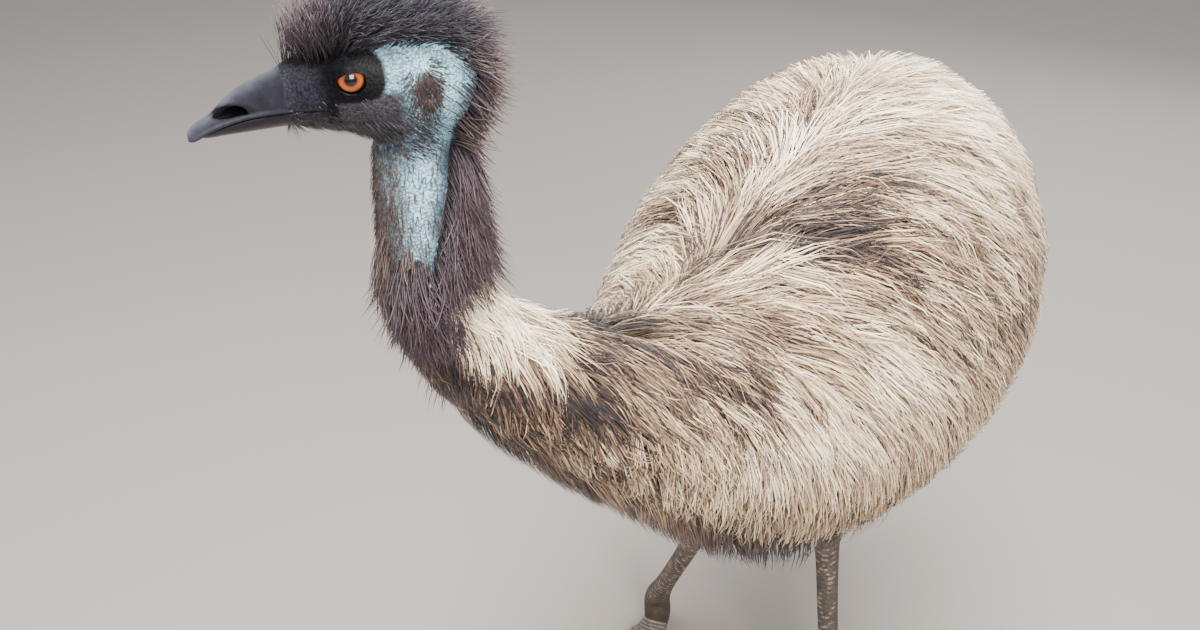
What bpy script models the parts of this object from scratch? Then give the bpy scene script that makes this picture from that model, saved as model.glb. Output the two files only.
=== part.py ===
"""A standing emu at life size, made as a still model, in metres with +Z up.

The bird faces -Y, its left side is at +X, and it looks to its right.
The body is one tube from rump to head with a shaggy coat of flat locks.  It is
parted with thin cuts into tail, torso, two lengths of neck and the head, and
the bill, eyes, legs, feet and claws are set on those.
"""

import math
import random

import bmesh
import bpy
from mathutils import Vector

OBJECT_NAME = "emu"

# Gap between parts that meet, and how much of the coat's depth the core leaves
# to the locks.
GAP = 0.0003
CORE_SHARE = 0.5
DOWN = Vector((0.0, 0.0, -1.0))

# The line of the body from the rump to the nape.  Each row is a station:
# centre x, y, z, the way the bird faces there in degrees towards its right,
# half width, reach upwards, reach downwards, and depth of the coat.
BODY_LINE = (
    (0.052, 0.405, 0.810, 0, 0.030, 0.030, 0.040, 0.030),
    (0.050, 0.365, 0.808, 0, 0.130, 0.148, 0.155, 0.060),
    (0.045, 0.275, 0.805, 0, 0.198, 0.230, 0.215, 0.070),
    (0.040, 0.140, 0.803, 0, 0.238, 0.267, 0.242, 0.075),
    (0.032, 0.000, 0.803, 0, 0.240, 0.264, 0.245, 0.075),
    (0.022, -0.130, 0.812, 0, 0.216, 0.244, 0.230, 0.070),
    (0.012, -0.250, 0.832, 0, 0.176, 0.204, 0.186, 0.060),
    (0.000, -0.350, 0.862, 2, 0.134, 0.154, 0.128, 0.050),
    (-0.014, -0.430, 0.902, 6, 0.103, 0.113, 0.088, 0.040),
    (-0.035, -0.505, 0.950, 12, 0.080, 0.083, 0.066, 0.034),
    (-0.065, -0.570, 1.006, 22, 0.060, 0.062, 0.048, 0.026),
    (-0.090, -0.612, 1.062, 34, 0.046, 0.050, 0.038, 0.020),
    (-0.104, -0.626, 1.115, 44, 0.037, 0.045, 0.032, 0.016),
    (-0.112, -0.620, 1.165, 50, 0.031, 0.042, 0.029, 0.012),
    (-0.118, -0.606, 1.215, 52, 0.029, 0.038, 0.028, 0.010),
)
BODY_AROUND = 28

# The stations where the body is parted, and how far each cut reaches.
CUTS = {"tail": (1.7, 0.40), "torso": (8.4, 0.24), "neck_lower": (11.0, 0.12), "neck_upper": (13.35, 0.085)}

# Head frame: the point between the eyes, and how the head is turned.
HEAD_AT = Vector((-0.143, -0.6295, 1.256))
HEAD_FACING = math.radians(52.2)
HEAD_PITCH = math.radians(4.0)

# Sections of the head from the nape to the root of the bill:
# forward, half width, top, bottom.
HEAD_SECTIONS = (
    (-0.080, 0.008, 0.000, -0.022),
    (-0.074, 0.019, 0.012, -0.034),
    (-0.060, 0.027, 0.022, -0.048),
    (-0.040, 0.030, 0.028, -0.056),
    (-0.018, 0.030, 0.029, -0.053),
    (0.000, 0.0285, 0.0265, -0.042),
    (0.018, 0.0250, 0.0190, -0.0330),
    (0.036, 0.0205, 0.0108, -0.0275),
)

# Sections of the bill: forward, half width, height at the middle, and height
# of the mouth line or, for the lower bill, of the underside.
BILL_UPPER = (
    (0.0363, 0.0203, 0.0106, -0.0186),
    (0.0480, 0.0182, 0.0062, -0.0197),
    (0.0600, 0.0157, 0.0033, -0.0214),
    (0.0720, 0.0131, -0.0023, -0.0233),
    (0.0830, 0.0107, -0.0110, -0.0256),
    (0.0930, 0.0085, -0.0195, -0.0274),
    (0.1010, 0.0058, -0.0240, -0.0290),
    (0.1055, 0.0026, -0.0275, -0.0299),
)
BILL_LOWER = (
    (0.0363, 0.0198, -0.0193, -0.0272),
    (0.0520, 0.0166, -0.0210, -0.0275),
    (0.0680, 0.0135, -0.0234, -0.0289),
    (0.0840, 0.0098, -0.0265, -0.0299),
    (0.0960, 0.0056, -0.0287, -0.0308),
)
MOUTH_BACK = (-0.004, -0.0184)
MOUTH_FRONT = (0.046, -0.0191)
MOUTH_GAP = 0.0008
BILL_HOOK = 0.0003
NOSTRIL_AT = (0.0784, 0.0112, -0.0139)
NOSTRIL_SIZE = (0.0085, 0.0040, 0.0030)

EYE_RADIUS = 0.0118
EYE_SIDE = 0.0168
LID_THICKNESS = 0.0016
LID_OPENING = (0.0090, 0.0076)
LID_TILT = math.radians(8)
EAR_AT = (-0.0447, 0.0300, -0.0115)
EAR_RADIUS = 0.0065

# Each leg from the thigh's end under the coat to the foot: x, y, z, half width
# across, half width fore and aft.
LEG_STATIONS = {
    "left": (
        (0.095, -0.035, 0.650, 0.054, 0.070),
        (0.090, 0.010, 0.570, 0.050, 0.062),
        (0.076, 0.062, 0.490, 0.036, 0.043),
        (0.062, 0.098, 0.425, 0.024, 0.029),
        (0.060, 0.102, 0.392, 0.0245, 0.030),
        (0.066, 0.099, 0.345, 0.0180, 0.0215),
        (0.080, 0.097, 0.220, 0.0155, 0.0180),
        (0.093, 0.095, 0.120, 0.0165, 0.0185),
        (0.099, 0.094, 0.066, 0.0220, 0.0220),
    ),
    "right": (
        (-0.080, -0.060, 0.650, 0.054, 0.070),
        (-0.090, -0.035, 0.570, 0.050, 0.062),
        (-0.092, 0.005, 0.495, 0.036, 0.043),
        (-0.088, 0.030, 0.432, 0.024, 0.029),
        (-0.095, 0.036, 0.398, 0.0245, 0.030),
        (-0.117, 0.058, 0.350, 0.0180, 0.0215),
        (-0.168, 0.112, 0.220, 0.0155, 0.0180),
        (-0.208, 0.153, 0.120, 0.0165, 0.0185),
        (-0.228, 0.172, 0.066, 0.0220, 0.0220),
    ),
}
HOCK, FOOT_TOP = 3.0, 8.0
LEG_AROUND = 12
FOOT_RINGS = ((0.040, 0.0235), (0.016, 0.0220), (-0.0025, 0.0170))

# Toes: direction in degrees from straight ahead towards the bird's left,
# length to the claw, half width at the root.
TOES = {
    "left": {"inner": (-24, 0.086, 0.0150), "middle": (2, 0.128, 0.0185), "outer": (27, 0.094, 0.0155)},
    "right": {"inner": (27, 0.086, 0.0150), "middle": (2, 0.128, 0.0185), "outer": (-24, 0.094, 0.0155)},
}
# Share of the toe's length, share of its width, height above the sole.
TOE_PADS = (
    (0.0, 1.00, 0.0340),
    (0.22, 1.05, 0.0240),
    (0.38, 0.84, 0.0190),
    (0.52, 0.96, 0.0175),
    (0.68, 0.76, 0.0150),
    (0.82, 0.86, 0.0140),
    (1.0, 0.62, 0.0125),
)
TOE_SINK = 0.0025
CLAW_LENGTH = 0.030
# Share of the claw's length, and shares of the toe's width and height.
CLAW_RINGS = ((0.0, 0.90, 0.86), (0.2, 0.86, 0.90), (0.5, 0.64, 0.66), (0.85, 0.34, 0.36))
CLAW_LOW = 0.62


def spline_row(rows, at):
    """A smooth value of a table of rows, at a place counted in rows."""
    last = len(rows) - 1
    at = min(max(at, 0.0), float(last))
    i = min(int(at), last - 1)
    f = at - i
    before, a, b, after = (rows[min(max(k, 0), last)] for k in (i - 1, i, i + 1, i + 2))
    return [
        q + 0.5 * f * (r - p + f * (2 * p - 5 * q + 4 * r - s + f * (3 * (q - r) + s - p)))
        for p, q, r, s in zip(before, a, b, after)
    ]


def tangent_at(rows, at, step=0.05):
    """The direction of a line of stations at a place counted in rows."""
    ahead = Vector(spline_row(rows, at + step)[:3])
    behind = Vector(spline_row(rows, at - step)[:3])
    return (ahead - behind).normalized()


def linked(name, bm, collection):
    """A new object from a bmesh, with its faces pointing out."""
    bmesh.ops.recalc_face_normals(bm, faces=bm.faces)
    if bm.calc_volume(signed=True) < 0:
        bmesh.ops.reverse_faces(bm, faces=bm.faces)
    mesh = bpy.data.meshes.new(name)
    bm.to_mesh(mesh)
    bm.free()
    made = bpy.data.objects.new(name, mesh)
    collection.objects.link(made)
    return made


def loft(name, rings, collection, tip=None):
    """A closed tube through rings of points with the same count, with an end
    face or a tip point at its far end.  Its sides are split into triangles
    alike on every tube, so that a grown copy keeps its distance."""
    bm = bmesh.new()
    loops = [[bm.verts.new(p) for p in ring] for ring in rings]
    count = len(loops[0])
    for a, b in zip(loops, loops[1:]):
        for i in range(count):
            j = (i + 1) % count
            bm.faces.new((a[i], a[j], b[j]))
            bm.faces.new((a[i], b[j], b[i]))
    bm.faces.new(loops[0])
    if tip is None:
        bm.faces.new(loops[-1])
    else:
        end = bm.verts.new(tip)
        for i in range(count):
            bm.faces.new((loops[-1][i], loops[-1][(i + 1) % count], end))
    return linked(name, bm, collection)


def turn(count):
    """Evenly spaced angles of one full turn."""
    return [2 * math.pi * i / count for i in range(count)]


def stretched(name, bm, centre, sizes, axes, collection):
    """A shape of unit size, set at a centre with a half size along each of three axes."""
    for v in bm.verts:
        parts = [axis * value * size for axis, value, size in zip(axes, v.co, sizes)]
        v.co = centre + parts[0] + parts[1] + parts[2]
    return linked(name, bm, collection)


def ellipsoid(name, centre, sizes, axes, collection, segments=16, rings=10):
    """A ball squeezed to three half sizes along three axes."""
    bm = bmesh.new()
    bmesh.ops.create_uvsphere(bm, u_segments=segments, v_segments=rings, radius=1.0)
    return stretched(name, bm, centre, sizes, axes, collection)


def slab(name, centre, sizes, axes, collection):
    """A box with three half sizes along three axes."""
    bm = bmesh.new()
    bmesh.ops.create_cube(bm, size=2.0)
    return stretched(name, bm, centre, sizes, axes, collection)


def combine(target, operation, tools, solver="EXACT"):
    """Joins or cuts with all objects of a collection, applies it, and removes them."""
    step = target.modifiers.new("shape", "BOOLEAN")
    step.operand_type = "COLLECTION"
    step.collection = tools
    step.operation = operation
    step.solver = solver
    graph = bpy.context.evaluated_depsgraph_get()
    mesh = bpy.data.meshes.new_from_object(target.evaluated_get(graph))
    target.modifiers.clear()
    target.data = mesh
    for used in list(tools.objects):
        bpy.data.objects.remove(used, do_unlink=True)


def extent(faces):
    """The diagonal of the box round some faces."""
    points = [v.co for face in faces for v in face.verts]
    low = Vector([min(p[k] for p in points) for k in range(3)])
    high = Vector([max(p[k] for p in points) for k in range(3)])
    return (high - low).length


def surfaces(bm):
    """The separate closed surfaces of a bmesh, each a list of faces, largest first."""
    left = set(bm.faces)
    found = []
    while left:
        seed = left.pop()
        island, edge = [seed], [seed]
        while edge:
            near = {f for side in edge.pop().edges for f in side.link_faces} & left
            left -= near
            island.extend(near)
            edge.extend(near)
        found.append(island)
    return sorted(found, key=extent, reverse=True)


def keep_largest(target):
    """Drops all but the largest closed surface of an object."""
    bm = bmesh.new()
    bm.from_mesh(target.data)
    extra = [face for island in surfaces(bm)[1:] for face in island]
    bmesh.ops.delete(bm, geom=extra, context="FACES")
    bm.to_mesh(target.data)
    bm.free()


def body_frame(at):
    """Centre, headward tangent, left and dorsal directions at a body station."""
    row = spline_row(BODY_LINE, at)
    tangent = tangent_at(BODY_LINE, at)
    facing = math.radians(row[3])
    left = Vector((math.cos(facing), -math.sin(facing), 0.0))
    left = (left - tangent * left.dot(tangent)).normalized()
    return Vector(row[:3]), tangent, left, tangent.cross(left), row


def body_point(at, angle, share=CORE_SHARE):
    """A point round the body; angle 0 is the back and a quarter turn the left side.

    share is how much of the coat's depth is taken off the outline.
    """
    centre, _, left, dorsal, row = body_frame(at)
    width, up, down, coat = row[4:8]
    side, rise = math.sin(angle), math.cos(angle)
    reach = (up if rise > 0 else down) - coat * share
    return centre + left * (width - coat * share) * side + dorsal * reach * rise


def body_slopes(at, angle, step=0.02):
    """How the core's surface runs headward and around, and its outward normal."""
    along = (body_point(at + step, angle) - body_point(at - step, angle)) / (2 * step)
    around = (body_point(at, angle + step) - body_point(at, angle - step)) / (2 * step)
    return along, around, along.cross(around).normalized()


def body_tube(collection):
    """The core of the body from the rump up into the head."""
    stations = [0.0, 0.35, 0.7]
    stations += [1.0 + 0.5 * k for k in range(27)]
    rings = [[body_point(at, angle) for angle in turn(BODY_AROUND)] for at in stations]
    return loft("body", rings, collection)


def head_axes():
    """Forward, left and up directions of the head."""
    level = Vector((-math.sin(HEAD_FACING), -math.cos(HEAD_FACING), 0.0))
    left = Vector((math.cos(HEAD_FACING), -math.sin(HEAD_FACING), 0.0))
    forward = level * math.cos(HEAD_PITCH) + DOWN * math.sin(HEAD_PITCH)
    return forward, left, forward.cross(left)


def head_point(f, s, u):
    """A point of the head, from its forward, leftward and upward distances."""
    forward, left, up = head_axes()
    return HEAD_AT + forward * f + left * s + up * u


def skull_point(at, angle):
    """A point round the head; angle 0 is the crown and a quarter turn the left side."""
    f, w, top, bottom = spline_row(HEAD_SECTIONS, at)
    middle, half = (top + bottom) / 2, (top - bottom) / 2
    return head_point(f, w * math.sin(angle), middle + half * math.cos(angle))


def skull(collection, steps=14, around=22):
    """The head without bill and eyes."""
    last = len(HEAD_SECTIONS) - 1
    rings = [[skull_point(last * k / steps, angle) for angle in turn(around)] for k in range(steps + 1)]
    return loft("skull", rings, collection)


def lock(name, spine, sides, normals, width, thickness, collection):
    """A flat lock that tapers to a tip: spine points from its root, with the
    directions across it and out of it, under a low ridge."""
    last = len(spine) - 1
    rings = []
    for k in range(last):
        t = k / last
        half = 0.5 * width * (0.70 + 1.3 * t - 2.0 * t * t)
        ridge = thickness * (1.0 - 0.62 * t)
        edge = spine[k] - normals[k] * ridge * 0.35
        rings.append([edge - sides[k] * half, spine[k] + normals[k] * ridge, edge + sides[k] * half])
    return loft(name, rings, collection, tip=spine[last])


def coat_flow(at, angle, swing):
    """Which way a feather lies on the body: back along it, away from the
    parting on the spine, and down."""
    _, around, normal = body_slopes(at, angle)
    away = around.normalized() * math.copysign(0.45, math.sin(angle))
    hang = 0.85 + 2.2 * max(0.0, 1.0 - at / 2.4)
    want = DOWN * hang - tangent_at(BODY_LINE, at) + away * max(0.0, math.cos(angle))
    want = (want - normal * want.dot(normal)).normalized()
    across = normal.cross(want)
    return (want * math.cos(swing) + across * math.sin(swing)).normalized(), normal


def moved_on_body(at, angle, step):
    """The station and angle reached by a short step over the body's surface."""
    along, around, _ = body_slopes(at, angle)
    aa, ab, bb = along.dot(along), along.dot(around), around.dot(around)
    sa, sb = step.dot(along), step.dot(around)
    share = aa * bb - ab * ab
    return at + (sa * bb - sb * ab) / share, angle + (sb * aa - sa * ab) / share


def coat_route(at, angle, length, rise, sink, swing, curl, steps=4):
    """The spine of a lock on the body, from below the core's surface to its tip.

    Under the belly and past the rump the lock hangs free.
    """
    spine, sides, normals = [], [], []
    place = body_point(at, angle)
    flow, normal = coat_flow(at, angle, swing)
    for k in range(steps + 1):
        t = k / steps
        height = -sink + (sink + rise) * (1.0 - (1.0 - t) ** 3) - 0.35 * rise * t * t
        spine.append(place + normal * height)
        sides.append(normal.cross(flow).normalized())
        normals.append(normal)
        swing += curl / steps
        if at > 0.4 and normal.z > -0.75:
            at, angle = moved_on_body(at, angle, flow * (length / steps))
            place = body_point(at, angle)
            flow, normal = coat_flow(at, angle, swing)
        else:
            flow = (flow + DOWN * (1.2 if at < 1 else 0.30)).normalized()
            normal = (normal - flow * normal.dot(flow)).normalized()
            place = place + flow * (length / steps)
    return spine, sides, normals


def spread_roots(rng, low, high, spacing, tries):
    """Places over a length of the body that keep a spacing from each other."""
    kept = []
    for _ in range(tries):
        at = rng.uniform(low, high)
        angle = rng.uniform(-math.pi, math.pi)
        place = body_point(at, angle)
        apart = spacing(at, angle)
        if all((place - other[2]).length > min(apart, other[3]) for other in kept):
            kept.append((at, angle, place, apart))
    return [(at, angle) for at, angle, _, _ in kept]


def coat_spacing(at, angle):
    """How far apart the locks' roots stand: wide on the body, close on the
    neck, and wider again under the belly."""
    size = 0.112 if at < 6 else max(0.112 - 0.0184 * (at - 6), 0.038)
    return size * (1.25 if abs(angle) > 2.45 else 1.0)


def coat(rng, collection):
    """Long loose locks over the tail, the torso and the lower neck."""
    for at, angle in spread_roots(rng, 0.25, 11.6, coat_spacing, 9000):
        apart = coat_spacing(at, angle)
        depth = spline_row(BODY_LINE, at)[7]
        length = apart * rng.uniform(1.9, 2.4) * (0.62 if abs(angle) > 2.45 else 1.0)
        rise = depth * CORE_SHARE * rng.uniform(0.85, 1.1)
        swing, curl = rng.uniform(-0.22, 0.22), rng.uniform(-0.35, 0.35)
        route = coat_route(at, angle, length, rise, 0.30 * depth, swing, curl)
        lock("lock", *route, apart * rng.uniform(0.92, 1.08), 0.15 * apart, collection)


def loose_lock(rng, root, flow, normal, length, width, thickness, collection, steps=4):
    """One lock that leaves its root flat, stands off and turns back at its tip."""
    side = normal.cross(flow).normalized()
    lean = rng.uniform(-0.35, 0.35)
    place = root - normal * 0.004
    spine, sides, normals = [], [], []
    for k in range(steps + 1):
        t = k / steps
        heading = flow + normal * (0.85 - 0.75 * t) + side * lean * t
        heading = heading.normalized()
        spine.append(place)
        sides.append(side)
        normals.append(heading.cross(side).normalized())
        place = place + heading * (length / steps)
    return lock("hair", spine, sides, normals, width, thickness, collection)


def mane(rng, collection, rows=9):
    """Loose locks down the nape of the upper neck."""
    for row in range(rows):
        at = 11.5 + 2.35 * row / (rows - 1)
        for place in (-0.75, 0.0, 0.75):
            angle = place + rng.uniform(-0.1, 0.1)
            flow, normal = coat_flow(at, angle, 0.0)
            root = body_point(at, angle)
            loose_lock(rng, root, flow, normal, rng.uniform(0.040, 0.052), 0.022, 0.0048, collection)


def crest(rng, collection):
    """The loose hair-like locks of forehead, crown and nape."""
    forward, _, up = head_axes()
    rows = ((1.4, 1.0, 3), (2.3, 0.9, 4), (3.2, 0.75, 3), (4.0, 0.8, 4), (4.8, 0.6, 3), (5.6, 0.7, 3))
    for at, spread, count in rows:
        for k in range(count):
            angle = spread * (2 * k / (count - 1) - 1) + rng.uniform(-0.08, 0.08)
            root = skull_point(at, angle)
            normal = (root - skull_point(at, angle + math.pi)).normalized()
            flow = forward if at > 4 else -forward
            flow = (flow * 0.55 + up * 0.2 - normal * 0.1).normalized()
            loose_lock(rng, root, flow, normal, rng.uniform(0.030, 0.038), 0.018, 0.0042, collection)


def ear_tufts(collection, side, count=7):
    """Short locks that spread round the ear."""
    forward, left, up = head_axes()
    out = left * side
    ear = head_point(EAR_AT[0], EAR_AT[1] * side, EAR_AT[2])
    for k in range(count):
        angle = math.pi * (0.35 + 1.65 * k / count)
        spoke = forward * math.cos(angle) + up * math.sin(angle)
        root = ear + spoke * EAR_RADIUS * 0.9
        spine = [root + spoke * reach + out * lift
                 for reach, lift in ((0.0, -0.0045), (0.003, -0.0003), (0.008, -0.0003), (0.0125, -0.0019))]
        lock("ear_lock", spine, [spoke.cross(out)] * 4, [out] * 4, 0.0058, 0.0016, collection)


def eye_centre(side):
    return head_point(0.0, EYE_SIDE * side, 0.0)


def eye_ball(name, side, radius, collection):
    """A ball round the centre of an eye: the eye, its socket or its lids."""
    forward, left, up = head_axes()
    return ellipsoid(name, eye_centre(side), (radius,) * 3, (forward, up, left), collection, 18, 12)


def lid_opening(side, collection):
    """A cutter for the opening between the lids of one eye."""
    forward, left, up = head_axes()
    out = left * side
    long_axis = forward * math.cos(LID_TILT) - up * math.sin(LID_TILT)
    short_axis = forward * math.sin(LID_TILT) + up * math.cos(LID_TILT)
    rings = []
    for depth, grow in ((0.004, 0.85), (0.016, 1.12)):
        centre = eye_centre(side) + out * depth - up * 0.0010
        wide, tall = long_axis * LID_OPENING[0] * grow, short_axis * LID_OPENING[1] * grow
        rings.append([centre + wide * math.cos(a) + tall * math.sin(a) for a in turn(16)])
    return loft("opening", rings, collection)


def ear_cup(side, collection):
    """A cutter for the cup of one ear."""
    forward, left, up = head_axes()
    place = head_point(EAR_AT[0], (EAR_AT[1] + 0.0005) * side, EAR_AT[2])
    sizes = (EAR_RADIUS * 0.8, EAR_RADIUS, 0.0035)
    return ellipsoid("ear", place, sizes, (forward, up, left), collection, 12, 8)


def mouth_line(collection):
    """A cutter for the line of the mouth, from the bill back to the gape."""
    _, left, _ = head_axes()
    back = head_point(MOUTH_BACK[0], 0, MOUTH_BACK[1])
    front = head_point(MOUTH_FRONT[0], 0, MOUTH_FRONT[1])
    along = (front - back).normalized()
    sizes = ((front - back).length / 2, 0.05, MOUTH_GAP / 2)
    return slab("mouth", (back + front) / 2, sizes, (along, left, along.cross(left)), collection)


def finish_head(head, parts, tools):
    """Sockets, lids, ears and mouth line of the head, and its eyes."""
    for side in (1, -1):
        eye_ball("socket", side, EYE_RADIUS + GAP, tools)
        lid_opening(side, tools)
        ear_cup(side, tools)
    mouth_line(tools)
    combine(head, "DIFFERENCE", tools, "MANIFOLD")
    keep_largest(head)
    eye_ball("eye_left", 1, EYE_RADIUS, parts)
    eye_ball("eye_right", -1, EYE_RADIUS, parts)


def bill_half(rows, name, upper, steps, collection, around=14):
    """Upper bill, a ridge over wide edges, or lower bill, a shallow trough."""
    rings = []
    last = len(rows) - 1
    for k in range(steps + 1):
        f, half, top, bottom = spline_row(rows, last * k / steps)
        ring = []
        for angle in turn(around):
            side, rise = math.sin(angle), math.cos(angle)
            if upper:
                height = bottom + max(rise, 0.0) ** 1.4 * (top - bottom)
            else:
                height = top - max(-rise, 0.0) * (top - bottom)
            ring.append(head_point(f, half * side, height))
        rings.append(ring)
    f, _, top, bottom = rows[last]
    tip_height = bottom - BILL_HOOK if upper else (top + bottom) / 2
    return loft(name, rings, collection, tip=head_point(f + 0.0022, 0.0, tip_height))


def bill(parts, tools):
    """Both halves of the bill, with the nostrils cut in the upper one."""
    forward, left, up = head_axes()
    upper = bill_half(BILL_UPPER, "bill_upper", True, 11, parts)
    for side in (1, -1):
        place = head_point(NOSTRIL_AT[0], NOSTRIL_AT[1] * side, NOSTRIL_AT[2])
        along = (forward * 0.93 - up * 0.36).normalized()
        ellipsoid("nostril", place, NOSTRIL_SIZE, (along, left, along.cross(left)), tools, 12, 8)
    combine(upper, "DIFFERENCE", tools)
    keep_largest(upper)
    bill_half(BILL_LOWER, "bill_lower", False, 6, parts)


def leg_ring(side, at, shift, grow=0.0):
    """A ring round a leg at a station, moved along the leg by a distance."""
    rows = LEG_STATIONS[side]
    x, y, z, across, deep = spline_row(rows, at)
    tangent = tangent_at(rows, at)
    left = Vector((1.0, 0.0, 0.0))
    left = (left - tangent * left.dot(tangent)).normalized()
    front = tangent.cross(left)
    centre = Vector((x, y, z)) + tangent * shift
    wide, long = left * (across + grow), front * (deep + grow)
    return [centre + wide * math.cos(a) + long * math.sin(a) for a in turn(LEG_AROUND)]


def leg_length(name, side, start, end, steps, collection, grow=0.0):
    """A length of the leg between two stations, half the gap short at each end."""
    rings = []
    for k in range(steps + 1):
        shift = GAP / 2 - grow if k == 0 else -GAP / 2 if k == steps else 0.0
        rings.append(leg_ring(side, start + (end - start) * k / steps, shift, grow))
    return loft(name, rings, collection)


def foot_base(side):
    """The point on the floor below the joint of the foot."""
    x, y = LEG_STATIONS[side][-1][:2]
    return Vector((x, y, 0.0))


def toe_axes(degrees):
    """The level directions along and across a toe."""
    angle = math.radians(degrees)
    heading = Vector((math.sin(angle), -math.cos(angle), 0.0))
    return heading, heading.cross(DOWN)


def toe(side, name, collection, around=10):
    """One toe with its pads, sunk a little below the level of the sole."""
    degrees, length, half = TOES[side][name]
    heading, across = toe_axes(degrees)
    rings = []
    for share, wide, height in TOE_PADS:
        centre = foot_base(side) + heading * length * share - DOWN * (height - TOE_SINK) / 2
        tall = -DOWN * (height + TOE_SINK) / 2
        rings.append([centre + across * math.cos(a) * half * wide + tall * math.sin(a) for a in turn(around)])
    return loft("toe", rings, collection)


def claw(side, name, collection, around=8):
    """The claw of a toe, face to face with it and flat below where it stands."""
    degrees, length, half = TOES[side][name]
    heading, across = toe_axes(degrees)
    wide, height = TOE_PADS[-1][1] * half, TOE_PADS[-1][2]
    size = CLAW_LENGTH * (1.0 if name == "middle" else 0.82)
    root = foot_base(side) + heading * (length + GAP)
    rings = []
    for share, w, h in CLAW_RINGS:
        tall = height * h / (1.0 + CLAW_LOW)
        ring = []
        for a in turn(around):
            lift = max(tall * (CLAW_LOW + math.sin(a)), 0.0)
            ring.append(root + heading * size * share + across * math.cos(a) * wide * w - DOWN * lift)
        rings.append(ring)
    return loft(f"claw_{name}_{side}", rings, collection, tip=root + heading * size - DOWN * height * 0.12)


def foot(side, parts, tools):
    """The foot: the joint below the shank and three toes, on flat soles."""
    rings = [leg_ring(side, FOOT_TOP, GAP / 2)]
    base = foot_base(side)
    for height, half in FOOT_RINGS:
        centre = base - DOWN * height
        rings.append([centre + Vector((math.cos(a), -math.sin(a), 0.0)) * half for a in turn(LEG_AROUND)])
    made = loft(f"foot_{side}", rings, parts)
    for name in TOES[side]:
        toe(side, name, tools)
    combine(made, "UNION", tools)
    axes = (Vector((1, 0, 0)), Vector((0, 1, 0)), -DOWN)
    slab("ground", base + DOWN * 0.05, (0.4, 0.4, 0.05), axes, tools)
    combine(made, "DIFFERENCE", tools)
    keep_largest(made)


def leg(side, parts, tools):
    """One leg from the end of the thigh to the claws."""
    leg_length(f"shin_{side}", side, 0.0, HOCK, 6, parts)
    leg_length(f"shank_{side}", side, HOCK, FOOT_TOP, 10, parts)
    foot(side, parts, tools)
    for name in TOES[side]:
        claw(side, name, parts)


def flesh(parts, tools):
    """Tail, torso, neck and head: one body with its coat, parted by thin cuts."""
    rng = random.Random(11)
    whole = body_tube(parts)
    skull(tools)
    for side in (1, -1):
        eye_ball("lids", side, EYE_RADIUS + GAP + LID_THICKNESS, tools)
        ear_tufts(tools, side)
    coat(rng, tools)
    mane(rng, tools)
    crest(rng, tools)
    combine(whole, "UNION", tools, "MANIFOLD")
    keep_largest(whole)
    for at, reach in CUTS.values():
        centre, tangent, left, dorsal, _ = body_frame(at)
        slab("cut", centre, (reach, reach, GAP / 2), (left, dorsal, tangent), tools)
    combine(whole, "DIFFERENCE", tools, "MANIFOLD")
    return whole


def part_lengths(whole, parts):
    """Each length of the parted body as its own object, by the place of its middle."""
    bm = bmesh.new()
    bm.from_mesh(whole.data)
    names = list(CUTS) + ["head"]
    found = {}
    for island in surfaces(bm):
        middle = sum((face.calc_center_median() for face in island), Vector()) / len(island)
        beyond = 0
        for at, _ in CUTS.values():
            centre, tangent, _, _, _ = body_frame(at)
            beyond += (middle - centre).dot(tangent) > 0
        found.setdefault(names[beyond], {face.index for face in island})
    for name, kept in found.items():
        copy = bm.copy()
        extra = [face for face in copy.faces if face.index not in kept]
        bmesh.ops.delete(copy, geom=extra, context="FACES")
        found[name] = linked(name, copy, parts)
    bm.free()
    bpy.data.objects.remove(whole, do_unlink=True)
    return found


COLOURS = {
    "tail": (0.32, 0.25, 0.18),
    "torso": (0.52, 0.43, 0.32),
    "neck_lower": (0.20, 0.15, 0.12),
    "neck_upper": (0.16, 0.22, 0.25),
    "head": (0.12, 0.16, 0.18),
    "bill": (0.035, 0.038, 0.045),
    "eye": (0.55, 0.17, 0.03),
    "shin": (0.22, 0.16, 0.11),
    "shank": (0.20, 0.17, 0.15),
    "foot": (0.20, 0.17, 0.15),
    "claw": (0.05, 0.045, 0.04),
}
ROUGHNESS = {"bill": 0.4, "eye": 0.08, "claw": 0.45}


def finish(made):
    """The plain colour of one part, by its name or the first word of its name."""
    kind = made.name if made.name in COLOURS else made.name.split("_")[0]
    material = bpy.data.materials.new(made.name)
    material.use_nodes = True
    shader = material.node_tree.nodes["Principled BSDF"]
    shader.inputs["Base Color"].default_value = (*COLOURS[kind], 1.0)
    shader.inputs["Roughness"].default_value = ROUGHNESS.get(kind, 0.8)
    shader.inputs["Metallic"].default_value = 0.0
    made.data.materials.clear()
    made.data.materials.append(material)
    made.data.shade_smooth()


def centre_on_floor(parts):
    """Parents every part to one empty, set so that the bird's box is centred."""
    points = [v.co for made in parts.objects for v in made.data.vertices]
    middle = [(min(p[k] for p in points) + max(p[k] for p in points)) / 2 for k in range(2)]
    root = bpy.data.objects.new(OBJECT_NAME, None)
    for made in parts.objects:
        made.parent = root
    parts.objects.link(root)
    root.location = (-middle[0], -middle[1], 0.0)


def main():
    for old in list(bpy.data.objects):
        bpy.data.objects.remove(old, do_unlink=True)
    parts = bpy.data.collections.new(OBJECT_NAME)
    tools = bpy.data.collections.new("cutters")
    tools.hide_render = True
    bpy.context.scene.collection.children.link(parts)
    bpy.context.scene.collection.children.link(tools)

    lengths = part_lengths(flesh(parts, tools), parts)
    finish_head(lengths["head"], parts, tools)
    bill(parts, tools)
    for side in LEG_STATIONS:
        leg(side, parts, tools)
    for side in LEG_STATIONS:
        leg_length("socket", side, 0.0, HOCK, 6, tools, GAP)
    combine(lengths["torso"], "DIFFERENCE", tools, "MANIFOLD")
    keep_largest(lengths["torso"])
    for made in parts.objects:
        finish(made)
    centre_on_floor(parts)


main()
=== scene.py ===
"""The looks of the standing emu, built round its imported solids."""

import math

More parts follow.
